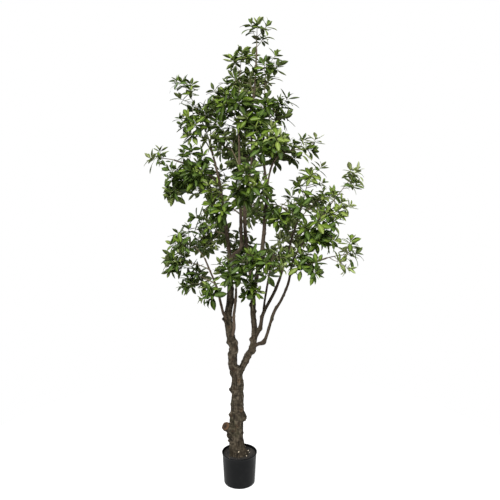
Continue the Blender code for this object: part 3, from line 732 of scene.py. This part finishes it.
def bark_finish(name, old, young, groove_tone_and_shade, crest_tone_and_highlight):
    """Bark that is grooved and callused where it is old and smoother where it is young."""
    bark = Finish(name, Specular_IOR_Level=0.15)
    place = bark.place()
    fibre = bark.node("Attribute", {}, output=1, attribute_name="fibre")
    relief, age, bare, pit = (bark.node("Attribute", {}, output=2, attribute_name=key)
                              for key in ("relief", "age", "bare", "pit"))
    strand = bark.grain(fibre, 210.0, 6.0, 0.65)
    patch = bark.grain(place, 17.0, 4.0)
    cloud = bark.grain(place, 60.0, 5.0, 0.6)
    blotch = bark.grain(place, 95.0, 4.0, 0.6)
    height = relief * 0.55 + strand * 0.28 + blotch * 0.36 - 0.12
    # The colour follows the relief. It is darker in the grooves and lighter on the crests: partly the
    # bark's own tone, partly painted shade and painted highlight.
    level = bark.ramp(height + cloud * 0.7 - 0.35, (0.32, groove_tone_and_shade), (0.43, tinted(old, 0.52)),
                      (0.58, old), (0.82, crest_tone_and_highlight))
    # The young bark is also darker where the relief sinks and lighter where it rises: partly its own
    # tone, partly painted shade and painted highlight.
    smooth = bark.ramp(height, (0.25, tinted(young, 0.45)), (0.55, young), (0.85, tinted(young, 1.45)))
    skin = bark.blend(bark.step(age, 0.55, 0.05), level, smooth)
    mossy = bark.step(patch, 0.5, 0.66) * bark.step(cloud, 0.38, 0.62) * 0.6
    skin = bark.blend(mossy, skin, (0.034, 0.034, 0.016))
    rusty = bark.step(bark.grain(place, 31.0, 3.0), 0.54, 0.68) * bark.step(height, 0.62, 0.42) * 0.75
    skin = bark.blend(rusty, skin, (0.052, 0.027, 0.014))
    skin = bark.blend(bare * bark.step(strand, 0.25, 0.6), skin, (0.085, 0.056, 0.032))
    # Painted shade: the hollows of the marks and the creases between their folds are darkened.
    skin = bark.blend(pit * 0.9, skin, (0.016, 0.01, 0.007))
    bark.paint(Base_Color=skin, Roughness=0.94 - bark.step(height, 0.4, 0.8) * 0.18)
    bark.bump(strand * 0.7 + cloud * 0.5, 0.75, 0.0016)
    return bark


def show_wood(name, build, samples, voxel, roughness, bark, limbs):
    """Fuses the tubes of a bmesh, grows their bark and shows them."""
    mesh = run_together(build, voxel, name)
    grow_bark(mesh, samples, roughness)
    piece = shown(name, mesh, bark)
    piece.data.shade_smooth()
    seated(piece, "bark", *limbs)


lower_build = bmesh.new()
lower_samples = []
for limb in LOWER_WOOD:
    thick = LIMBS[limb][1][0][3] > 0.03
    lower_samples += add_limb(lower_build, limb, RING_SPACING,
                              THICK_SIDES if thick else THIN_SIDES)
stub_route = [(STUB_ROOT.lerp(STUB_TIP, share),
               STUB_ROOT_RADIUS + (STUB_TIP_RADIUS - STUB_ROOT_RADIUS) * share)
              for share in (0.0, 0.15, 0.3, 0.45, 0.6, 0.75, 0.9, 1.0)]
add_tube(lower_build, stub_route, STUB_SIDES, lambda index, outward: stub_route[index][1] * (
    1 + 0.05 * sin(3 * atan2(outward.z, outward.y) + index)))
for index, ((centre, radius), directions) in enumerate(zip(stub_route[2:], frames_along(stub_route)[2:])):
    lower_samples.append((centre, radius, directions, 0.03 + 0.01 * index, 2.1))
# The last two colours are the grooves' dark tone with painted shade and the crests' light tone with
# painted highlight.
show_wood("lower_wood", lower_build, lower_samples, LOWER_VOXEL, 1.0, bark_finish(
    "old_bark", (0.03, 0.0232, 0.0145), (0.044, 0.033, 0.0225), (0.0045, 0.003, 0.002),
    (0.098, 0.079, 0.054)), LOWER_WOOD)


# The sawn face of the branch stub low on the trunk's left: bare orange-brown wood with growth
# rings round a dark heart, smoothed by hand and slightly hollow.
FACE_SIDES = 40
FACE_RINGS = 9
FACE_HOLLOW = 0.0024
FACE_THICKNESS = 0.0062
FACE_LIFT = 0.0042
face_turn = STUB_AXIS.to_track_quat("Z", "Y").to_matrix().to_4x4()
face_turn.translation = STUB_TIP + STUB_AXIS * FACE_LIFT
face_build = bmesh.new()
face_rows = []
for ring in range(1, FACE_RINGS + 2):
    share = min(1.0, ring / FACE_RINGS)
    depth, spread = 0.0006 * share - FACE_HOLLOW * (1 - share ** 2) ** 1.5, share
    if ring > FACE_RINGS:
        depth, spread = -FACE_THICKNESS, 0.97
    row = []
    for side in range(FACE_SIDES):
        turn = 2 * pi * side / FACE_SIDES
        edge = STUB_TIP_RADIUS * (1.0 + 0.05 * sin(2 * turn + 1) + 0.03 * sin(5 * turn))
        across = edge * spread * 0.98
        ripple = 0.0004 * sin(14 * share * pi) * share
        row.append(face_build.verts.new((across * cos(turn), across * sin(turn), depth + ripple)))
    face_rows.append(row)
heart = face_build.verts.new((0.0, 0.0, -FACE_HOLLOW))
under = face_build.verts.new((0.0, 0.0, -FACE_THICKNESS))
bridge(face_build, [[heart] * FACE_SIDES, *face_rows, [under] * FACE_SIDES])
face_build.transform(face_turn)
bmesh.ops.recalc_face_normals(face_build, faces=face_build.faces)

sawn = Finish("sawn_wood", Specular_IOR_Level=0.2)
pith = face_turn.translation + Vector((-0.002, 0.0, -0.002))
centred = sawn.node("Mapping", {"Vector": sawn.place(), "Location": tuple(-pith)})
warp = sawn.grain(centred, 160.0, 3.0)
span = sawn.node("VectorMath", {0: centred}, operation="LENGTH")
rings = sawn.node("Math", {0: (span * 2400.0 + warp * 3.2)}, operation="SINE")
ring_mask = sawn.step(rings, -0.2, 0.9)
wood_tone = sawn.blend(ring_mask * 0.7, (0.06, 0.034, 0.017), (0.024, 0.014, 0.008))
wood_tone = sawn.blend(sawn.step(span, 0.011, 0.0035), wood_tone, (0.014, 0.009, 0.006))
wood_tone = sawn.blend(sawn.step(span, 0.0165, 0.0215), wood_tone, (0.108, 0.058, 0.028))
sawn.paint(Base_Color=wood_tone, Roughness=0.72 + ring_mask * 0.12)
sawn.bump(ring_mask + warp * 0.8, 0.5, 0.0006)
sawn_face = shown("sawn_face", mesh_of(face_build, "sawn_face"), sawn)
sawn_face.data.shade_smooth()
seated(sawn_face, "bark", "trunk")


# The boughs of the crown: slimmer limbs of the same wood, glued into the tips of the lower ones,
# with smoother, paler bark and a small lump at every old leaf node.
UPPER_WOOD = tuple(name for name in LIMBS if name not in LOWER_WOOD)
UPPER_VOXEL = 0.0018
BOUGH_SIDES = 18
upper_build = bmesh.new()
upper_samples = []
for limb in UPPER_WOOD:
    upper_samples += add_limb(upper_build, limb, RING_SPACING, BOUGH_SIDES)
# The last two colours are the grooves' dark tone with painted shade and the crests' light tone with
# painted highlight.
show_wood("upper_wood", upper_build, upper_samples, UPPER_VOXEL, 1.1, bark_finish(
    "young_bark", (0.05, 0.038, 0.026), (0.08, 0.058, 0.041), (0.012, 0.008, 0.005),
    (0.13, 0.105, 0.076)), UPPER_WOOD)


# The twigs: a stem springs from a bough for every mass of foliage, and thinner twigs of plastic
# over wire are set round it, curving to the light. They taper, and are brown with some green.
STEM_RADIUS = 0.004
# A stem is at most this share of the limb's own radius.
STEM_SHARE_OF_LIMB = 0.72
TWIG_ROOT_RADIUS = 0.0019
TIP_RADIUS = 0.0011
# Where a finer twig may spring from a side twig, and the odds.
FINER_TWIGS = ((0.45, 0.75), (0.72, 0.45))
TWIG_SIDES = 6
TWIG_SPACING = 0.012
TIP_DEPTH = 0.028
TWIG_CROWDING = 0.03
# How far apart the twigs leave their stem, as a length for a whole space.
TWIGS_APART = 0.018
# How far leaves may reach out of their space, and in among the neighbours' leaves.
LEAF_OVERHANG = 0.012
LEAF_CROWDING = 0.034
GOLDEN_ANGLE = radians(137.5)
# How much of its space a mass fills and how far apart its twigs' tips stand, at a limb's tip and
# elsewhere.
AT_A_TIP = (0.98, 0.054)
ELSEWHERE = (1.03, 0.042)
LIMB_CLEARANCE = 0.004
# Each mass: the limb that bears it, how far along that limb its stem leaves (1 is the tip), and,
# in millimetres, the middle of the space it fills as (right, back, up) and that space's radius.
MASSES = (
    ("crown_leader", 1.0, (90, 20, 2325), 100),
    ("inner_bough", 1.0, (15, 50, 2205), 105),
    ("inner_bough", 0.93, (-55, -130, 1975), 130),
    ("crown_leader", 0.8, (50, 130, 2100), 130),
    ("right_stem", 1.0, (135, -40, 2135), 105),
    ("right_stem", 0.92, (210, 20, 1945), 105),
    ("right_stem", 0.8, (145, -150, 1775), 125),
    ("crown_leader", 0.72, (85, -80, 1905), 120),
    ("left_bough", 1.0, (-275, 100, 2065), 100),
    ("left_bough", 0.88, (-235, 10, 1885), 115),
    ("left_bough", 0.94, (-140, 180, 1960), 130),
    ("inner_bough", 0.7, (-75, 60, 1800), 140),
    ("right_arm", 1.0, (345, -20, 1740), 95),
    ("right_arm", 0.6, (220, 90, 1740), 120),
    ("left_arm", 1.0, (-420, 0, 1700), 85),
    ("left_arm", 0.55, (-235, -110, 1655), 130),
    ("left_arm", 0.72, (-310, -20, 1555), 105),
    ("left_bough", 0.48, (-190, 200, 1590), 140),
    ("inner_bough", 0.52, (60, -260, 1565), 135),
    ("inner_bough", 0.4, (-115, -190, 1480), 140),
    ("crown_leader", 0.52, (0, 280, 1740), 145),
    ("right_fork", 1.0, (355, 60, 1615), 110),
    ("outer_bough", 1.0, (570, -30, 1625), 98),
    ("right_stem", 0.52, (250, -170, 1435), 120),
    ("right_fork", 0.86, (415, 150, 1490), 120),
    ("outer_bough", 0.92, (480, -110, 1480), 105),
    ("outer_bough", 0.8, (400, -160, 1360), 115),
    ("right_fork", 0.68, (285, 220, 1320), 135),
    ("low_left_bough", 1.0, (-280, -100, 1325), 115),
    ("left_bough", 0.22, (-160, 140, 1310), 140),
    ("low_left_bough", 0.82, (-335, -20, 1190), 97),
    ("low_left_bough", 0.6, (-240, 40, 1105), 105),
    ("low_left_bough", 0.42, (-130, -100, 1035), 78),
    ("front_stem", 1.0, (-45, -205, 1175), 130),
    ("right_stem", 0.24, (130, -230, 1215), 125),
    ("middle_stem", 0.6, (60, -115, 1085), 85),
    ("back_stem", 1.0, (195, 270, 1150), 130),
    ("low_right_bough", 0.35, (320, -170, 1200), 100),
    ("low_right_bough", 1.0, (550, -130, 1240), 115),
    ("left_leader", 0.86, (10, 260, 1215), 140),
    ("crown_leader", 0.34, (90, 280, 1440), 135),
)
MASSES = [(host, share, [part / 1000 for part in middle], reach / 1000)
          for host, share, middle, reach in MASSES]
ROUTES = {name: smooth_route(points, spacing) for name, (spacing, points) in LIMBS.items()}


def along_route(route, share):
    """The place, radius and direction at a share of the way along a route."""
    place = share * (len(route) - 1)
    low = min(int(place), len(route) - 2)
    (start, thick), (end, thin) = route[low], route[low + 1]
    part = place - low
    return start.lerp(end, part), thick + (thin - thick) * part, (end - start).normalized()


def curved_twig(start, bend, end, foot, tip):
    """A tapering route that leaves start towards bend and comes to end."""
    run = (end - start).length
    steps = max(3, round(run / TWIG_SPACING))
    points = []
    for step in range(steps + 1):
        t = step / steps
        place = start * (1 - t) ** 2 + bend * 2 * t * (1 - t) + end * t * t
        points.append((place, foot + (tip - foot) * t))
    return points


def stem_route(host, share, centre, reach):
    """The stem of a mass: out of its limb to the middle of its space."""
    seat, thickness, growth = along_route(ROUTES[host], share)
    middle = Vector(centre)
    heading = (middle - seat).normalized()
    start = seat - growth * 0.006 if share >= 1.0 else seat
    lead = growth * 0.7 + heading * 0.3 if share >= 1.0 else heading + growth * 0.5
    goal = middle + heading * reach * 0.15
    bend = start + lead.normalized() * (goal - start).length * 0.45
    return curved_twig(start, bend, goal, min(STEM_RADIUS, STEM_SHARE_OF_LIMB * thickness), TIP_RADIUS)


class Space:
    """The space that one mass keeps to: a ball, cut where it meets its neighbours' balls, less the
    limbs."""

    def __init__(self, index, share, tips_apart):
        self.tips_apart = tips_apart
        self.centre = Vector(MASSES[index][2])
        self.reach = MASSES[index][3] * share
        self.rivals = []
        for other, mass in enumerate(MASSES):
            centre, reach = Vector(mass[2]), mass[3]
            apart = (centre - self.centre).length
            if other != index and apart < reach + self.reach + 0.02:
                level = ((centre.length_squared - reach ** 2)
                         - (self.centre.length_squared - self.reach ** 2)) / (2 * apart)
                self.rivals.append(((centre - self.centre) / apart, level))

    def holds(self, point, thickness, crowding=0.0):
        """Whether a ball of this thickness at the point is inside the space and touches no limb.
        Crowding is how far it may push in among the neighbours' leaves."""
        if (point - self.centre).length > self.reach - thickness:
            return False
        if any(point.dot(way) > level - thickness + crowding for way, level in self.rivals):
            return False
        place, number, far = WOOD_TREE.find(point)
        return far > max(0.0, thickness) + WOOD_BALLS[number][1]


def wood_balls():
    """Balls along every limb: (place, radius)."""
    found = []
    for name in LIMBS:
        rise = max((knot[3] for knot in KNOTS.get(name, ())), default=0.0)
        for (start, thick), (end, thin) in zip(ROUTES[name], ROUTES[name][1:]):
            steps = max(2, ceil((end - start).length / 0.006))
            for step in range(steps + 1):
                share = step / steps
                found.append((start.lerp(end, share),
                              (thick + (thin - thick) * share) * 1.1 + rise + LIMB_CLEARANCE))
    return found


WOOD_BALLS = wood_balls()
WOOD_TREE = tree_of([place for place, radius in WOOD_BALLS])


def side_twig(space, parent, share, angle, length, foot, tips, chance):
    """A twig from one side of another, curving to the light, or nothing where there's no room."""
    start, thickness, axis = along_route(parent, share)
    step = min(int(share * (len(parent) - 1)), len(parent) - 2)
    tangent, across, over = frames_along(parent)[step]
    for attempt in range(7):
        turn = angle + attempt * 0.9
        outward = across * cos(turn) + over * sin(turn)
        heading = (outward + axis * chance.uniform(0.35, 0.9)).normalized()
        bend = start + heading * length * 0.55
        lift = Vector((0, 0, chance.uniform(0.1, 0.8)))
        end = bend + (heading + lift).normalized() * length * 0.45
        apart = min((end - tip).length for tip in tips)
        if (apart > space.tips_apart and space.holds(end, TIP_DEPTH, TWIG_CROWDING)
                and space.holds(start.lerp(end, 0.6), 0.001, TWIG_CROWDING)):
            tips.append(end)
            return curved_twig(start, bend, end, min(foot, thickness * 0.9), TIP_RADIUS)
        length *= 0.93


def grow_twigs(index, space):
    """All the twigs of one mass, its stem first."""
    chance = random.Random(100 + index)
    stem = STEMS[index]
    twigs, tips = [stem], [stem[-1][0]]
    inside = next((step / 40 for step in range(41)
                   if (along_route(stem, step / 40)[0] - space.centre).length < space.reach * 1.15), 0.6)
    count = max(4, round(space.reach / TWIGS_APART))
    spin = chance.uniform(0, 6.28)
    for number in range(count):
        share = inside + (0.95 - inside) * ((number + 0.5) / count) ** 0.85
        length = space.reach * chance.uniform(0.5, 0.98) * (1.08 - 0.3 * number / count)
        twig = side_twig(space, stem, share, spin + number * GOLDEN_ANGLE, length, TWIG_ROOT_RADIUS,
                         tips, chance)
        if not twig:
            continue
        twigs.append(twig)
        for place, odds in FINER_TWIGS:
            if chance.random() < odds:
                finer = side_twig(space, twig, place + chance.uniform(-0.06, 0.06),
                                  chance.uniform(0, 6.28), length * chance.uniform(0.34, 0.6),
                                  TWIG_ROOT_RADIUS * 0.8, tips, chance)
                twigs += [finer] if finer else []
    return twigs


STEMS = [stem_route(*mass) for mass in MASSES]
SPACES = [Space(index, *(AT_A_TIP if share >= 1.0 else ELSEWHERE))
          for index, (host, share, centre, reach) in enumerate(MASSES)]
TWIGS = [grow_twigs(index, SPACES[index]) for index in range(len(MASSES))]

stalks = Finish("twig_bark")
place = stalks.place()
tone = stalks.grain(place, 70.0, 3.0)
stalk_skin = stalks.grain(place, 900.0, 3.0)
stalks.paint(Base_Color=stalks.ramp(tone, (0.3, (0.06, 0.042, 0.024)), (0.52, (0.115, 0.088, 0.048)),
                                    (0.72, (0.115, 0.125, 0.05))),
             Roughness=0.58 + stalk_skin * 0.2)
stalks.bump(stalk_skin, 0.4, 0.0005)

twig_run = NodeRun("twig_run", Sides="Int")
lines = twig_run.node("GeometryNodeMeshToCurve", {"Mesh": twig_run.input("Geometry")})
ring = twig_run.node("GeometryNodeCurvePrimitiveCircle", {"Resolution": twig_run.input("Sides"),
                                                          "Radius": 1.0})
twig_run.finish(twig_run.node("GeometryNodeCurveToMesh", {
    "Curve": lines, "Profile Curve": ring, "Scale": twig_run.named("thickness", "FLOAT"),
    "Fill Caps": True}), [stalks])

twig_lines = bpy.data.meshes.new("twig_lines")
points, edges, thickness = [], [], []
for twigs in TWIGS:
    for route in twigs:
        first = len(points)
        edges += [(first + step, first + step + 1) for step in range(len(route) - 1)]
        points += [centre for centre, radius in route]
        thickness += [radius for centre, radius in route]
twig_lines.from_pydata(points, edges, [])
note(twig_lines, "thickness", thickness)
leaf_nodes = [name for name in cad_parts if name.startswith("leaves_")]
twigs_shown = twig_run.grow("twigs", twig_lines, Sides=TWIG_SIDES)
twigs_shown.data.shade_smooth()
seated(twigs_shown, "foliage", *leaf_nodes)


# The leaves: stamped fabric with a moulded midrib, narrow and pointed, held in whorls at the tips
# of the twigs. The old ones are deep green and spread, and the young ones are fresh and upright.
# The sprays on the crown's right and at its top are dealt lighter dyes as painted light.
LEAF_LENGTH = 0.067
LEAF_WIDTH = 0.4
LEAF_THICKNESS = 0.01
RIB_WIDTH = 0.018
# The outline: how far along each row of the blade is, and its share of the full width there.
LEAF_OUTLINE = ((0.0, 0.06), (0.09, 0.08), (0.24, 0.55), (0.42, 0.92), (0.58, 1.0), (0.76, 0.78),
                (0.91, 0.34), (1.0, 0.0))
# Each form: how far the blade bends down, how steeply it folds at its rib, its twist, its width.
LEAF_FORMS = ((12, 20, 0, 1.0), (34, 24, 10, 0.96), (58, 16, -12, 1.0), (-14, 28, 6, 0.88),
              (26, 12, -22, 1.08), (46, 26, 20, 0.92))
# The whorls at a twig's tip: leaves, how far below the tip, least and most lean, and their length
# as a share of the full one.
WHORLS = ((2, 0.0, 14, 36, 0.66), (3, 0.003, 44, 70, 0.92), (4, 0.009, 72, 98, 1.0),
          (1, 0.026, 80, 112, 0.94))
# How far a whorl turns up from its twig's direction, least and most.
UPRIGHT = (0.1, 0.9)
# A leaf that has no room at its full size is tried at the next.
LEAF_SIZES = (1.0, 0.84, 0.68)
# Each dye: its name, the blade's colour, the rib's, and the under side's.
DYES = (
    ("deep", (0.024, 0.047, 0.002), (0.06, 0.088, 0.01), (0.056, 0.08, 0.014)),
    ("cool", (0.052, 0.096, 0.014), (0.105, 0.15, 0.034), (0.096, 0.132, 0.036)),
    ("middle", (0.09, 0.148, 0.012), (0.16, 0.214, 0.042), (0.142, 0.184, 0.046)),
    ("olive", (0.155, 0.212, 0.036), (0.24, 0.29, 0.09), (0.206, 0.244, 0.086)),
    ("fresh", (0.245, 0.312, 0.096), (0.35, 0.4, 0.18), (0.3, 0.342, 0.15)),
)


def leaf_form(name, bend, fold, twist, breadth):
    """A leaf one metre long from its stalk along +Y, with its upper side to +Z, closed below."""
    build = bmesh.new()
    part = build.faces.layers.int.new("part")
    height = along = before = 0.0
    lift = tan(radians(fold))
    rows = []
    for share, width in LEAF_OUTLINE:
        pitch = radians(bend) * (share - 0.35)
        along += (share - before) * cos(pitch)
        height -= (share - before) * sin(pitch)
        before = share
        turn = radians(twist) * share
        half = LEAF_WIDTH * breadth * width / 2
        rib = min(RIB_WIDTH, half * 0.4)
        corners = ((-half, 0), (-rib, 0), (rib, 0), (half, 0), (0, LEAF_THICKNESS))
        row = []
        for side, drop in corners if width else ((0, 0),):
            up = abs(side) * lift * (1 - 0.5 * abs(side) / 0.15) - drop
            row.append(build.verts.new((side * cos(turn) - up * sin(turn), along,
                                        height + side * sin(turn) + up * cos(turn))))
        rows.append(row if width else row * len(corners))
    for low, high in zip(rows, rows[1:]):
        for left, right, kind in ((0, 1, 0), (1, 2, 1), (2, 3, 0), (3, 4, 2), (4, 0, 2)):
            corners = dict.fromkeys((low[left], low[right], high[right], high[left]))
            build.faces.new(tuple(corners))[part] = kind
    for corners in ((0, 4, 1), (1, 4, 2), (2, 4, 3)):
        build.faces.new([rows[0][corner] for corner in corners])[part] = 2
    bmesh.ops.recalc_face_normals(build, faces=build.faces)
    mesh = mesh_of(build, name)
    mesh.shade_smooth()
    return mesh


def whorl_leaves(space, route, vigour, chance):
    """The leaves at a twig's tip, each as (place, turn, length, form, share of the full length)."""
    axis, across, over = frames_along(route)[-1]
    axis = (axis + Vector((0, 0, chance.uniform(*UPRIGHT)))).normalized()
    across = (across - axis * across.dot(axis)).normalized()
    over = axis.cross(across)
    tip = route[-1][0]
    spin = chance.uniform(0, 2 * pi)
    found, number = [], 0
    for count, below, least_lean, most_lean, share in WHORLS:
        for _ in range(count):
            number += 1
            angle = spin + number * GOLDEN_ANGLE + chance.uniform(-0.2, 0.2)
            outward = across * cos(angle) + over * sin(angle)
            lean = radians(chance.uniform(least_lean, most_lean))
            along = axis * cos(lean) + outward * sin(lean)
            along = (along - Vector((0, 0, chance.uniform(0.0, 0.22) * sin(lean)))).normalized()
            root = tip - axis * (below + 0.0012 * number)
            length = LEAF_LENGTH * vigour * share * chance.uniform(0.86, 1.12)
            for size in LEAF_SIZES:
                end = root + along * length * size
                if all(space.holds(point, -LEAF_OVERHANG, LEAF_CROWDING)
                       for point in (end, root.lerp(end, 0.55))):
                    upper = (axis - along * axis.dot(along)).normalized()
                    roll = Matrix.Rotation(chance.gauss(0, 0.3), 3, along)
                    turn = roll @ Matrix((along.cross(upper), along, upper)).transposed()
                    form = chance.randrange(len(LEAF_FORMS))
                    found.append((root, turn.to_euler(), length * size, form, share))
                    break
    return found


def dye_of(place, index, chance):
    """The dye of a spray. As painted light, the right of the crown and its top are the brightest."""
    # Painted light: brighter dyes go to the right of the crown and to its top, with a random spread.
    painted_light_level = 0.32 + 0.55 * max(0.0, place.x - 0.12) + 0.3 * max(0.0, place.z - 1.9)
    level = painted_light_level + chance.gauss(0, 0.17) + 0.12 * sin(index * 2.4)
    return min(LAST_DYE, max(0, int(level * len(DYES))))


LAST_DYE = len(DYES) - 1
dealt = [[] for dye in DYES]
for index, twigs in enumerate(TWIGS):
    chance = random.Random(900 + index)
    for route in twigs:
        dye = dye_of(route[-1][0], index, chance)
        strong = route is twigs[0] or len(route) > 5
        vigour = chance.uniform(0.88, 1.08) if strong else chance.uniform(0.74, 0.96)
        for leaf in whorl_leaves(SPACES[index], route, vigour, chance):
            odds = chance.random()
            shift = (odds < 0.65) if leaf[4] < 0.7 else (odds < 0.16) - (odds > 0.72)
            dealt[max(0, min(LAST_DYE, dye + shift))].append(leaf)

forms = kept_aside("leaf_forms", [leaf_form("leaf_form_" + str(number), *form)
                                  for number, form in enumerate(LEAF_FORMS)])
for (dye, blade, rib, under), leaves in zip(DYES, dealt):
    finishes = []
    for part, colour, rough in (("blade", blade, 0.4), ("rib", rib, 0.48), ("under", under, 0.62)):
        cloth = Finish(dye + "_" + part, Base_Color=colour, Specular_IOR_Level=0.2)
        weave = cloth.grain(cloth.place(), 700.0, 2.0)
        cloth.paint(Roughness=rough + weave * 0.16)
        cloth.bump(weave, 0.3, 0.0004)
        finishes.append(cloth)
    grown = scattered("leaves_" + dye, forms, leaves, finishes)
    seated(grown, "foliage", *leaf_nodes)


# The floor, the light and the camera. The tree stands on a white sheet, and the room is dimmer
# than the sheet that is seen behind it.
ROOM_LIGHT = 0.16
SHEET_RADIUS = 1.7
WHITE = (1.0, 1.0, 1.0)
floor_build = bmesh.new()
bmesh.ops.create_circle(floor_build, cap_ends=True, segments=64, radius=SHEET_RADIUS)
paper = Finish("white_paper", Base_Color=(0.3, 0.3, 0.3), Roughness=0.9,
               Emission_Color=WHITE, Emission_Strength=0.86)
floor = shown("floor", mesh_of(floor_build, "floor"), paper)

world = bpy.data.worlds.new("studio")
bpy.context.scene.world = world
world.use_nodes = True
studio = Nodes()
studio.tree = world.node_tree
air = studio.tree.nodes["Background"]
seen_by_camera = studio.node("ShaderNodeLightPath", {})
studio.feed(air, "Color", WHITE)
studio.feed(air, "Strength", studio.node("ShaderNodeMapRange", {"Value": seen_by_camera,
                                                                "To Min": ROOM_LIGHT}))


def soft_box(name, place, aim, size, power):
    light = bpy.data.lights.new(name, "AREA")
    light.shape = "DISK"
    light.size = size
    light.energy = power
    lamp = placed(name, light)
    lamp.location = place
    lamp.rotation_euler = (Vector(aim) - Vector(place)).to_track_quat("-Z", "Y").to_euler()


soft_box("key_light", (-1.6, -4.4, 4.6), (0.05, 0, 1.3), 2.6, 560.0)
soft_box("side_light", (4.4, -1.6, 3.4), (0.05, 0, 1.3), 2.2, 190.0)
soft_box("back_light", (-2.6, 4.2, 3.8), (0.05, 0, 1.5), 2.2, 150.0)

view = bpy.data.cameras.new("camera")
view.lens = 40.0
view.sensor_width = 36.0
camera = placed("camera", view)
camera.location = (0.056, -2.779, 1.61)
camera.rotation_euler = (radians(90.0 - 7.5), 0.0, 0.0)
bpy.context.scene.camera = camera
bpy.context.scene.view_settings.view_transform = "Standard"
